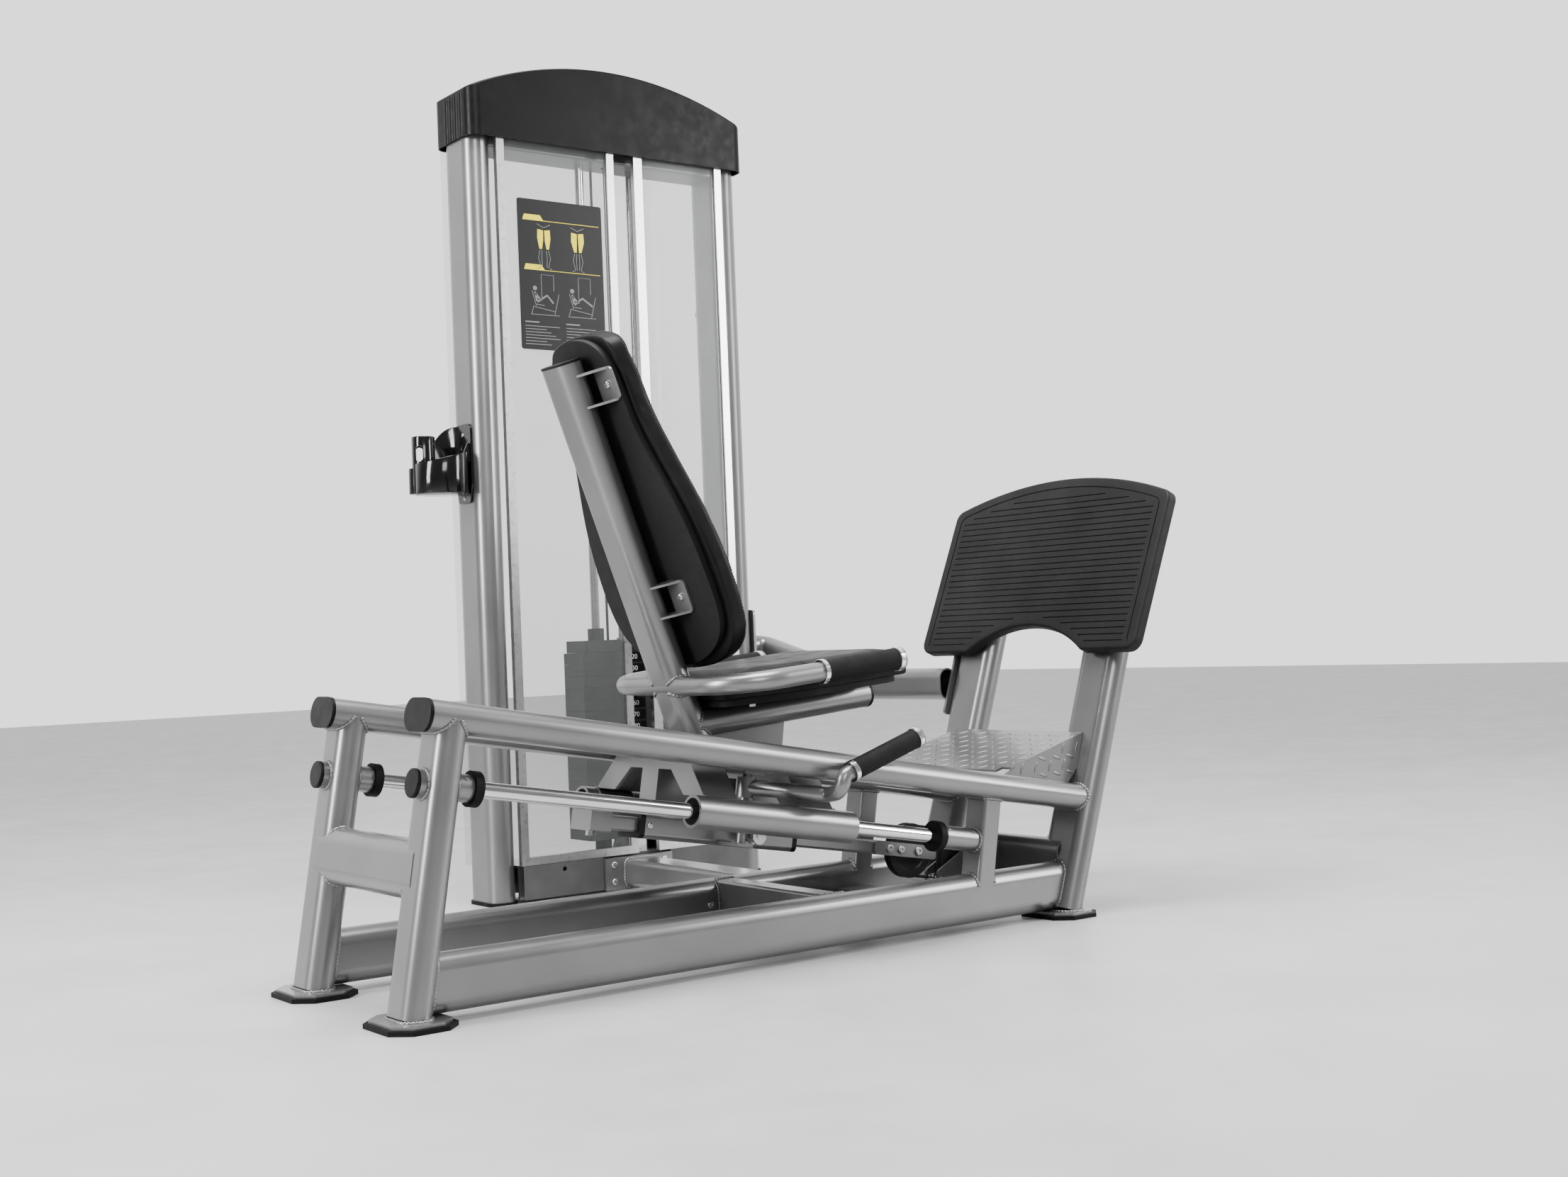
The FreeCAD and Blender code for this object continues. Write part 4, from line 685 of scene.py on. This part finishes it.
def smooth_loop(points, per_span=14):
    """Closed Catmull-Rom curve through points, spaced by chord length."""
    count = len(points)
    result = []
    for i in range(count):
        p = [Vector((*points[(i + k) % count], 0)) for k in (-1, 0, 1, 2)]
        t = [0.0]
        for a, b in zip(p, p[1:]):
            t.append(t[-1] + (b - a).length ** 0.5)
        for k in range(per_span):
            x = t[1] + (t[2] - t[1]) * k / per_span
            a = [p[j].lerp(p[j + 1], (x - t[j]) / (t[j + 1] - t[j])) for j in range(3)]
            b = [a[j].lerp(a[j + 1], (x - t[j]) / (t[j + 2] - t[j])) for j in range(2)]
            result.append(b[0].lerp(b[1], (x - t[1]) / (t[2] - t[1])))
    return result


def back_pad():
    half = [(y - 1.5, up) for y, up in BACK_OUTLINE]
    plan = smooth_loop(half + [(-y, up) for y, up in reversed(half)])
    plan = resample(plan, 6.0, closed=True)
    flip = Matrix(((0, 0, 1, 0), (1, 0, 0, 0), (0, 1, 0, 0), (0, 0, 0, 1)))
    matrix = BACK @ Matrix.Translation((41.3, 0, 0)) @ flip
    cushion("back", plan, Vector((0, 300, 0)), matrix, 37, 8, 11, 7)


# ---- foot board ----
BOARD_HALF, BOARD_CORNER, BOARD_APEX = 297.0, 317.0, 370.5
ARCH_HALF, ARCH_TOP = 160.0, 54.0


def arc_radius(half, rise):
    return (half * half + rise * rise) / (2 * rise)


def crown_height(y, inset=0.0):
    """Height of the board's arched top edge."""
    radius = arc_radius(BOARD_HALF, BOARD_APEX - BOARD_CORNER)
    return BOARD_APEX - radius + math.sqrt((radius - inset) ** 2 - y * y)


def arch_height(y, outset=0.0):
    """Height of the arched cut-out below, or nothing outside it."""
    radius = arc_radius(ARCH_HALF, ARCH_TOP) + outset
    drop = radius - outset - ARCH_TOP
    if abs(y) >= radius:
        return -drop
    return math.sqrt(radius * radius - y * y) - drop


def board_outline(inset=0.0, arched=True):
    """Closed outline of the board as (y, z), with rounded corners."""
    half = BOARD_HALF - inset
    line = [(y, crown_height(y, inset)) for y in (half - 2 * half * k / 60 for k in range(61))]
    line += [(-half, inset)]
    if arched:
        span = ARCH_HALF + inset
        line += [(y, max(arch_height(y, inset), inset)) for y in (2 * span * k / 40 - span for k in range(41))]
    line += [(half, inset)]
    return line


def soften(points, radius, corners):
    """Rounds the named corners of an outline, by walking back along it on both sides."""
    vectors = [Vector((*p, 0)) for p in points]
    result = []
    count = len(vectors)
    for i, p in enumerate(vectors):
        if any((p - Vector((*c, 0))).length < 1 for c in corners):
            result += corner_arc(vectors[i - 1], p, vectors[(i + 1) % count], radius, 8)
        elif all((p - Vector((*c, 0))).length > radius * 1.05 for c in corners):
            result.append(p)
    return [(p.x, p.y) for p in result]


def foot_board():
    """Thick rubber board with rounded edges, engraved with level grooves inside a border groove."""
    half = BOARD_HALF
    corners = [(half, crown_height(half)), (-half, crown_height(half)), (-half, 0), (half, 0)]
    outline = soften(board_outline(), 24, corners)
    outline = soften(outline, 13, [(-ARCH_HALF, 0), (ARCH_HALF, 0)])
    depth, thick = 1.5, 22.0
    mesh = bmesh.new()
    front = [mesh.verts.new(Vector((0, y, z))) for y, z in outline]
    face = mesh.faces.new(front)
    side = bmesh.ops.extrude_face_region(mesh, geom=[face])
    moved = [g for g in side["geom"] if isinstance(g, bmesh.types.BMVert)]
    bmesh.ops.translate(mesh, verts=moved, vec=(thick, 0, 0))
    bmesh.ops.recalc_face_normals(mesh, faces=mesh.faces)
    rim = [e for e in mesh.edges if all(v.co.x < 0.01 for v in e.verts)]
    bmesh.ops.bevel(mesh, geom=rim, offset=5.0, segments=5, profile=0.5, affect="EDGES")
    back = [e for e in mesh.edges if all(v.co.x > thick - 0.01 for v in e.verts)]
    bmesh.ops.bevel(mesh, geom=back, offset=2.0, segments=3, profile=0.5, affect="EDGES")
    mesh.transform(BOARD)
    board_mesh = bpy.data.meshes.new("foot_board_rubber")
    mesh.to_mesh(board_mesh)
    mesh.free()
    board = linked("foot_board_rubber", board_mesh)

    cutter = Piece("grooves", "frame", BOARD_RUBBER)
    pitch, width = 12.9, 2.3
    crown = arc_radius(half, BOARD_APEX - BOARD_CORNER) - 34
    arch = arc_radius(ARCH_HALF, ARCH_TOP)
    z = 17.0
    while z < BOARD_APEX - 26:
        rise = z - (BOARD_APEX - 34 - crown)
        reach = min(half - 34, math.sqrt(max(crown * crown - rise * rise, 0)))
        inside = math.sqrt(max((arch + 18) ** 2 - (z + arch - ARCH_TOP) ** 2, 0))
        spans = [(-reach, reach)] if inside == 0 else [(-reach, -inside), (inside, reach)]
        for low, high in spans:
            if high - low > 20:
                add_groove(cutter, [(low, z), (high, z)], width, depth)
        z += pitch
    corner = crown_height(half - 21, 21)
    border = [(y, h) for y, h in board_outline(21, arched=False) if h > 22]
    corners = [(half - 21, corner), (21 - half, corner)]
    border = soften([(half - 21, 16)] + border + [(21 - half, 16)], 16, corners)
    add_groove(cutter, border, width, depth)
    result = cut_away(board, (cutter.vertices, cutter.faces))
    result.materials.clear()
    result.materials.append(BOARD_RUBBER)
    for polygon in result.polygons:
        polygon.use_smooth = True
        polygon.material_index = 0
    result.set_sharp_from_angle(angle=math.radians(35))
    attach(board, "frame")
    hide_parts("foot_board")


def both_edges(points, width):
    """The left and right edges of a band along flat points."""
    left, right = [], []
    for i, p in enumerate(points):
        before = points[i - 1] if i else p
        after = points[i + 1] if i < len(points) - 1 else p
        tangent = (after - before).normalized()
        normal = Vector((-tangent.y, tangent.x, 0)) * width / 2
        left.append(p + normal)
        right.append(p - normal)
    return left, right


def add_groove(cutter, line, width, depth):
    """A flat-bottomed cutter with round ends along (y, z) points, on the board's front face."""
    points = [Vector((*p, 0)) for p in line]
    left, right = both_edges(points, width)
    first = (points[1] - points[0]).normalized()
    last = (points[-1] - points[-2]).normalized()
    outline = list(left)
    for k in range(1, 6):
        turn = math.radians(90 - 30 * k)
        normal = Vector((-last.y, last.x, 0))
        outline.append(points[-1] + (last * math.cos(turn) + normal * math.sin(turn)) * width / 2)
    outline += list(reversed(right))
    for k in range(1, 6):
        turn = math.radians(-90 - 30 * k)
        normal = Vector((-first.y, first.x, 0))
        outline.append(points[0] + (first * math.cos(turn) + normal * math.sin(turn)) * width / 2)
    count = len(outline)
    vertices = [BOARD @ Vector((level, p.x, p.y)) for level in (-3, depth) for p in outline]
    faces = [(i, (i + 1) % count, count + (i + 1) % count, count + i) for i in range(count)]
    segments = len(left)
    pairs = [(i, i + 1, count - 6 - i - 1, count - 6 - i) for i in range(segments - 1)]
    for offset in (0, count):
        for a, b, c, d in pairs:
            faces.append(tuple(offset + i for i in (a, b, c, d)))
        end = [segments - 1 + k for k in range(7)]
        start = [count - 6 + k for k in range(6)] + [0]
        faces.append(tuple(offset + i for i in end))
        faces.append(tuple(offset + i for i in start))
    mesh = bmesh.new()
    made = [mesh.verts.new(v) for v in vertices]
    for f in faces:
        mesh.faces.new([made[i] for i in f])
    bmesh.ops.recalc_face_normals(mesh, faces=mesh.faces)
    mesh.verts.index_update()
    cutter.add([v.co.copy() for v in mesh.verts], [tuple(v.index for v in f.verts) for f in mesh.faces])
    mesh.free()


# ---- tread pattern ----
def lozenge(long, wide, high):
    """A raised tread bar: pointed ends, round back."""
    rows, sides = 9, 6
    vertices, faces = [], []
    for i in range(rows):
        t = -1 + 2 * i / (rows - 1)
        span = wide / 2 * math.sqrt(max(1 - t * t, 0.0004))
        for k in range(sides + 1):
            turn = math.pi * k / sides
            rise = high * math.sin(turn) * (1 - t ** 4) - 0.2
            vertices.append(Vector((t * long / 2, span * math.cos(turn), rise)))
    for i in range(rows - 1):
        for k in range(sides):
            a = i * (sides + 1) + k
            faces.append((a, a + 1, a + sides + 2, a + sides + 1))
        a, b = i * (sides + 1), (i + 1) * (sides + 1)
        faces.append((a, b, b + sides, a + sides))
    return vertices, faces


def tread_pattern():
    """Raised bars in alternating directions on the step and its near and far flaps."""
    bars = Piece("tread_pattern", "frame", SILVER, "tread_plate")
    shape = lozenge(24, 5.5, 1.6)
    low, high = Vector((188.7, 0, 277.7)), Vector((397.0, 0, 334.4))
    slope = math.degrees(math.atan2(high.z - low.z, high.x - low.x))
    deck = local(low.x, 0, low.z, -slope)
    length = (high - low).length
    pitch = 27.0
    rows, columns = int(length / pitch), int(340 / pitch)
    for i in range(rows + 1):
        for j in range(-columns // 2 - 1, columns // 2 + 2):
            x, y = 12 + i * pitch * 0.97, j * pitch
            if abs(y) > 164 or x > length - 12 or (x < 24 and abs(y) > 148):
                continue
            turn = 45 if (i + j) % 2 else -45
            bars.add(*shape, deck @ Matrix.Translation((x, y, 0)) @ turned(turn, "Z"))
    for side in (-1, 1):
        face = LEVEL @ Matrix.Translation((0, side * 178, 0)) @ turned(90 * -side, "X")
        for i in range(12):
            for j in range(8):
                x, z = 214 + i * 18, 232 + j * 15
                top = low.z + (x - low.x) * math.tan(math.radians(slope)) - 9
                bottom = 408 - 0.1737 * (x + 744) + 24.4 + 8
                edge = 397 - (334 - z) * 0.33 - 9
                if z > top or z < bottom or x > edge or (i + j) % 2:
                    continue
                turn = 70 if i % 2 else -20
                bars.add(*shape, face @ Matrix.Translation((x, -side * z, 0)) @ turned(turn, "Z"))
    bars.make()


# ---- small parts ----
def grip_collars():
    """Polished collars at both ends of every grip."""
    profile = [(16.6, 0), (19.9, 0), (20.8, 0.8), (20.8, 8.2), (19.9, 9.0), (16.6, 9.0)]
    rise = 345 * math.tan(math.radians(5))
    collars = Piece("grip_collars", "carriage", POLISHED, "bright_steel")
    for side in (-1, 1):
        tip, bend = at(-72, side * 202, 461 + rise), at(-417, side * 202, 461)
        along = (bend - tip).normalized()
        for start in (0.5, 166):
            foot = tip + along * start * MM
            collars.add(*lathe(profile), facing(foot, foot + along))
    collars.make(sharp=40)
    small = [(13.1, 0), (17.6, 0), (18.4, 0.8), (18.4, 8.2), (17.6, 9.0), (13.1, 9.0)]
    lever = Piece("lever_collars", "lever", POLISHED, "bright_steel")
    start, end = SLOPE @ Vector((86, -241, 84)), SLOPE @ Vector((238, -241, 164))
    along = (end - start).normalized()
    for foot in (start + along * 14 * MM, end - along * 8.5 * MM):
        lever.add(*lathe(small), facing(foot, foot + along))
    lever.make(sharp=40)


def plate_labels():
    """Black label with a white number on every plate of the stack."""
    pitch, thick, head = 25.4, 25.0, 518.0
    black_lifted = Piece("lifted_labels", "stack", INK_BLACK, "cast_plate")
    black_resting = Piece("resting_labels", "frame", INK_BLACK, "cast_plate")
    for k in range(1, 17):
        z = head - k * pitch + thick / 2
        outline = rounded([(8, z - 10.5), (64, z - 10.5), (64, z + 10.5), (8, z + 10.5)], 1.5)
        label = black_lifted if k <= 4 else black_resting
        label.add(*slab(outline, -0.4, local(0, 823, 0)))
        body = "stack" if k <= 4 else "frame"
        number = bpy.data.curves.new(f"number_{(k + 1) * 10}", "FONT")
        number.body = str((k + 1) * 10)
        number.size = 15 * MM
        number.extrude = 0.15 * MM
        number.align_x = "CENTER"
        number.align_y = "CENTER"
        number.materials.append(INK_WHITE)
        text = linked(number.name, number)
        text.matrix_world = Matrix.Translation(at(39, 822.4, z)) @ turned(90, "X")
        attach(text, body)
    black_lifted.make(smooth=False)
    black_resting.make(smooth=False)


# ---- cables ----
CABLE_R = 3.0


def cables():
    """The two cable runs that change length, each made as one still mesh."""
    pulley, radius, low = Vector((447, 0, -30)), 46, -76
    route = [Vector((560 - 10 * k, 0, 16)) for k in range(11)]
    route += [pulley + Vector((-math.sin(t), 0, math.cos(t))) * radius
              for t in (math.pi * k / 28 for k in range(29))]
    route += [Vector((455 + 6 * k, 0, low)) for k in range(9)]
    travel = Piece("travelling_cable", "adjuster", CABLE, "coated_cable")
    travel.add(*sweep([SLOPE @ p for p in route], CABLE_R * MM, 12))
    bend_between(travel, "travel_cable")
    lift = Piece("lifting_cable", "stack", CABLE, "coated_cable")
    lift.add(*sweep([at(36, 868, 578 + 27 * k) for k in range(42)], CABLE_R * MM, 12))
    bend_between(lift, "lift_cable")


def bend_between(piece, node):
    """Makes the piece as one still mesh in the row frame, riding on no body, and hides the imported node."""
    made = piece.make(ride=False)
    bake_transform(made)
    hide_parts(node)


# ---- cup holder ----
def cup_holder():
    """Glossy cup ring whose far wall sweeps up, with a tall slotted pocket, a low one and a back plate."""
    post_x, centre_y = -331.0, 862.0
    cup = Piece("cup_holder_shell", "frame", GLOSS_BLACK, "gloss_black")

    def rim(x, y):
        level = 914 + 0.24 * (x - post_x + 160)
        if y <= centre_y:
            return level
        share = min(max((x - post_x + 92) / 80, 0), 1)
        return level + (1006 - level) * share * share * (3 - 2 * share)

    bowl(cup, post_x - 61, centre_y, 56.5, 860, rim)
    bowl(cup, post_x - 100, centre_y + 27, 21, 862, lambda x, y: 916)
    plate = rounded([(836, 842), (888, 842), (896, 880), (896, 1008), (828, 1008), (828, 880)],
                    [9, 9, 10, 16, 16, 10])
    cup.add(*slab(plate, 4, local(post_x - 6, 0, 0) @ turned(90, "Z")))
    for y in (centre_y - 31, centre_y + 27):
        rib = rounded([(post_x - 9, 926), (post_x - 30, 934), (post_x - 14, 968), (post_x - 9, 990)], 3)
        cup.add(*slab(rib, 4, local(0, y, 0)))
    shell = cup.make(sharp=40)
    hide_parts("cup_holder")

    pocket = Piece("cup_holder_pocket", "frame", GLOSS_BLACK, "gloss_black")
    bowl(pocket, post_x - 94, centre_y + 15, 24, 865, lambda x, y: 981)
    slot = rounded([(-15, 928), (-1, 928), (-1, 961), (-15, 961)], 6.5)
    through = local(post_x - 94, centre_y + 15, 0) @ turned(-27, "Z")
    cut_away(pocket.make(sharp=40), slab(slot, 120, through @ Matrix.Translation((0, -60, 0))))


def bowl(piece, x, y, outer, low, rim, wall=3.4, sides=72):
    """An open cup with a rounded rim whose height follows rim(x, y)."""
    inner = outer - wall
    vertices, faces = [], []
    for k in range(sides):
        turn = 2 * math.pi * k / sides
        u, v = math.cos(turn), math.sin(turn)
        high = rim(x + outer * u, y + outer * v)
        profile = [(0.01, low), (outer - 2.5, low), (outer - 0.7, low + 0.7), (outer, low + 2.5),
                   (outer, (low + high) / 2), (outer, high - 1.6), (outer - 0.6, high - 0.4),
                   (outer - wall / 2, high), (inner + 0.6, high - 0.4), (inner, high - 1.6),
                   (inner, (low + high) / 2), (inner, low + 7), (inner - 2.5, low + 4.5), (0.01, low + 4)]
        vertices += [at(x + r * u, y + r * v, z) for r, z in profile]
    rows = len(profile)
    for k in range(sides):
        m = (k + 1) % sides
        for i in range(rows - 1):
            faces.append((k * rows + i, m * rows + i, m * rows + i + 1, k * rows + i + 1))
    faces.append(tuple(k * rows for k in reversed(range(sides))))
    faces.append(tuple(k * rows + rows - 1 for k in range(sides)))
    piece.add(vertices, faces)


def cut_away(piece, shape):
    """Cuts a shape, given as vertices and faces, out of a piece's mesh."""
    mesh = bpy.data.meshes.new("cutter")
    mesh.from_pydata(shape[0], [], shape[1])
    work = bmesh.new()
    work.from_mesh(mesh)
    bmesh.ops.recalc_face_normals(work, faces=work.faces)
    work.to_mesh(mesh)
    work.free()
    tool = linked("cutter", mesh)
    cut = piece.modifiers.new("Cut", "BOOLEAN")
    cut.operation = "DIFFERENCE"
    cut.solver = "EXACT"
    cut.object = tool
    bpy.context.view_layer.update()
    result = bpy.data.meshes.new_from_object(piece.evaluated_get(bpy.context.evaluated_depsgraph_get()))
    piece.modifiers.clear()
    piece.data = result
    bpy.data.objects.remove(tool)
    return result


# ---- placard ----
def ribbon(points, width):
    """A flat printed line along (x, z) points."""
    left, right = both_edges([Vector((*p, 0)) for p in points], width)
    return [(p.x, p.y) for p in left + right[::-1]]


def disc(x, z, radius, count=20):
    return [(x + radius * math.cos(2 * math.pi * k / count), z + radius * math.sin(2 * math.pi * k / count))
            for k in range(count)]


def placard():
    """Black board on the left shield, with leg pictures and two generic pictures of the exercise."""
    x0, x1, z0, z1, face = -232.0, -25.0, 1165.0, 1486.0, 790.4
    board = Piece("placard_board", "frame", INK_BLACK, "black_plastic")
    board.add(*slab(rounded([(x0, z0), (x1, z0), (x1, z1), (x0, z1)], 5), -1.2, local(0, face, 0)))
    board.make(smooth=False)
    front = local(0, face - 1.25, 0)
    yellow = Piece("placard_yellow_marks", "frame", INK_YELLOW, "black_plastic")
    lines = Piece("placard_grey_marks", "frame", INK_GREY, "black_plastic")
    wide = x1 - x0

    def mark(piece, outline):
        piece.add(*slab(outline, -0.3, front))

    def bar(piece, left, right, low, high):
        mark(piece, [(left, low), (right, low), (right, high), (left, high)])

    for z in (1442, 1336):
        mark(yellow, [(x0 + 12, z), (x0 + 62, z), (x0 + 54, z + 11), (x0 + 16, z + 11)])
        bar(yellow, x0 + 12, x1 - 8, z - 1.2, z)
    for centre, gap in ((x0 + wide * 0.30, 5.5), (x0 + wide * 0.70, 3.0)):
        for side in (-1, 1):
            def leg(points):
                return [(centre + side * x, z) for x, z in points]

            thigh = leg([(1.5, 1421), (15, 1423), (16, 1404), (gap + 6, 1381), (gap, 1381), (2, 1400)])
            shin = leg([(gap + 5, 1378), (gap + 9, 1362), (gap + 4, 1342), (gap + 12, 1338)])
            inner = leg([(gap, 1378), (gap + 1, 1362), (gap, 1342)])
            mark(yellow, thigh)
            mark(lines, ribbon(shin, 1.2))
            mark(lines, ribbon(inner, 1.2))
        mark(lines, ribbon([(centre - 16, 1434), (centre, 1427), (centre + 16, 1434)], 1.2))
    for middle, knee, foot in ((x0 + wide * 0.29, 13, 20), (x0 + wide * 0.73, 9, 26)):
        seat = [[(-36, 0), (34, 0)], [(-34, 0), (-28, 18)], [(-30, 17), (26, 8)], [(22, 0), (34, 46)],
                [(-22, 18), (-31, 50)], [(-22, 22), (-2, 20)], [(-8, 30), (-8, 86), (22, 86), (22, 52)]]
        body = [[(-20, 28), (-24, 48)], [(-19, 27), (knee - 8, 42), (foot, 26)], [(-23, 45), (-12, 32)]]
        for strokes, thick in ((seat, 1.3), (body, 4.2)):
            for stroke in strokes:
                mark(lines, ribbon([(middle + x, 1240 + z) for x, z in stroke], thick))
        mark(lines, disc(middle - 24, 1296, 5))
    for column, left in enumerate((x0 + 10, x0 + wide / 2 + 6)):
        bar(lines, left, left + 34, 1222, 1225)
        for k in range(7):
            width = 84 - 11 * ((k * 3 + column) % 4)
            z = 1214 - 6.4 * k
            bar(lines, left, left + width, z, z + 1.6)
    yellow.make(smooth=False)
    lines.make(smooth=False)


# ---- stage ----
def camera():
    """Standing view from behind the user's right shoulder."""
    yaw, pitch, roll = math.radians(37.0), math.radians(1.4), math.radians(-2.3)
    forward = Vector((math.sin(yaw) * math.cos(pitch), math.cos(yaw) * math.cos(pitch), math.sin(pitch)))
    right = Vector((math.cos(yaw), -math.sin(yaw), 0))
    up = right.cross(forward)
    turned_right = right * math.cos(roll) + up * math.sin(roll)
    turned_up = up * math.cos(roll) - right * math.sin(roll)
    data = bpy.data.cameras.new("camera")
    data.sensor_width = 36
    data.lens = 42.78
    data.clip_end = 60
    view = linked("camera", data)
    rows = Matrix((turned_right, turned_up, -forward)).transposed().to_4x4()
    view.matrix_world = Matrix.Translation(at(-2162.4, -2655.0, 541.4)) @ rows
    bpy.context.scene.camera = view


def stage():
    """Pale floor, a bright room and large soft lamps."""
    s = Shader("pale_floor", Specular_IOR_Level=0.35)
    s.colour(s.blend(s.spread(s.noise(2.5, 4), 0, 1), grey(0.52), grey(0.58)))
    s.rough(s.spread(s.noise(9, 3), 0.35, 0.5))
    s.bump(s.noise(260, 3), 0.05, 0.001)
    size = 14.0
    mesh = bpy.data.meshes.new("floor")
    corners = [(-size, -size, 0), (size, -size, 0), (size, size, 0), (-size, size, 0)]
    mesh.from_pydata(corners, [], [(0, 1, 2, 3)])
    mesh.materials.append(s.material)
    linked("floor", mesh)

    world = bpy.data.worlds.new("studio")
    bpy.context.scene.world = world
    world.use_nodes = True
    nodes, links = world.node_tree.nodes, world.node_tree.links
    coords = nodes.new("ShaderNodeTexCoord")
    towards = nodes.new("ShaderNodeVectorMath")
    towards.operation = "DOT_PRODUCT"
    towards.inputs[1].default_value = (0.6, 0.8, 0.25)
    ramp = nodes.new("ShaderNodeValToRGB")
    links.new(coords.outputs["Generated"], towards.inputs[0])
    links.new(towards.outputs["Value"], ramp.inputs["Fac"])
    links.new(ramp.outputs["Color"], nodes["Background"].inputs["Color"])
    stops = ramp.color_ramp.elements
    stops[0].position, stops[0].color = 0.0, (0.22, 0.22, 0.22, 1)
    stops[1].position, stops[1].color = 0.55, (1.0, 1.0, 1.0, 1)
    nodes["Background"].inputs["Strength"].default_value = 1.25

    def lamp(name, spot, target, size_x, size_y, power):
        light = bpy.data.lights.new(name, "AREA")
        light.shape = "RECTANGLE"
        light.size, light.size_y, light.energy = size_x, size_y, power
        obj = linked(name, light)
        obj.location = spot
        obj.rotation_euler = (Vector(target) - Vector(spot)).to_track_quat("-Z", "Y").to_euler()

    middle = (0, 0, 0.7)
    lamp("top_light", (-0.4, -0.6, 3.4), middle, 2.4, 1.6, 120)
    lamp("left_light", (-4.0, 0.2, 1.9), middle, 1.0, 2.4, 120)
    lamp("right_light", (3.2, -3.0, 2.0), middle, 0.9, 2.4, 80)
    lamp("front_light", (-1.6, -4.4, 2.6), middle, 1.6, 1.2, 40)
    scene = bpy.context.scene
    scene.view_settings.look = "AgX - Medium High Contrast"


def main():
    paint_nodes()
    frame_welds()
    carriage_welds()
    seat_pad()
    back_pad()
    foot_board()
    tread_pattern()
    grip_collars()
    cables()
    cup_holder()
    plate_labels()
    placard()
    camera()
    stage()


main()
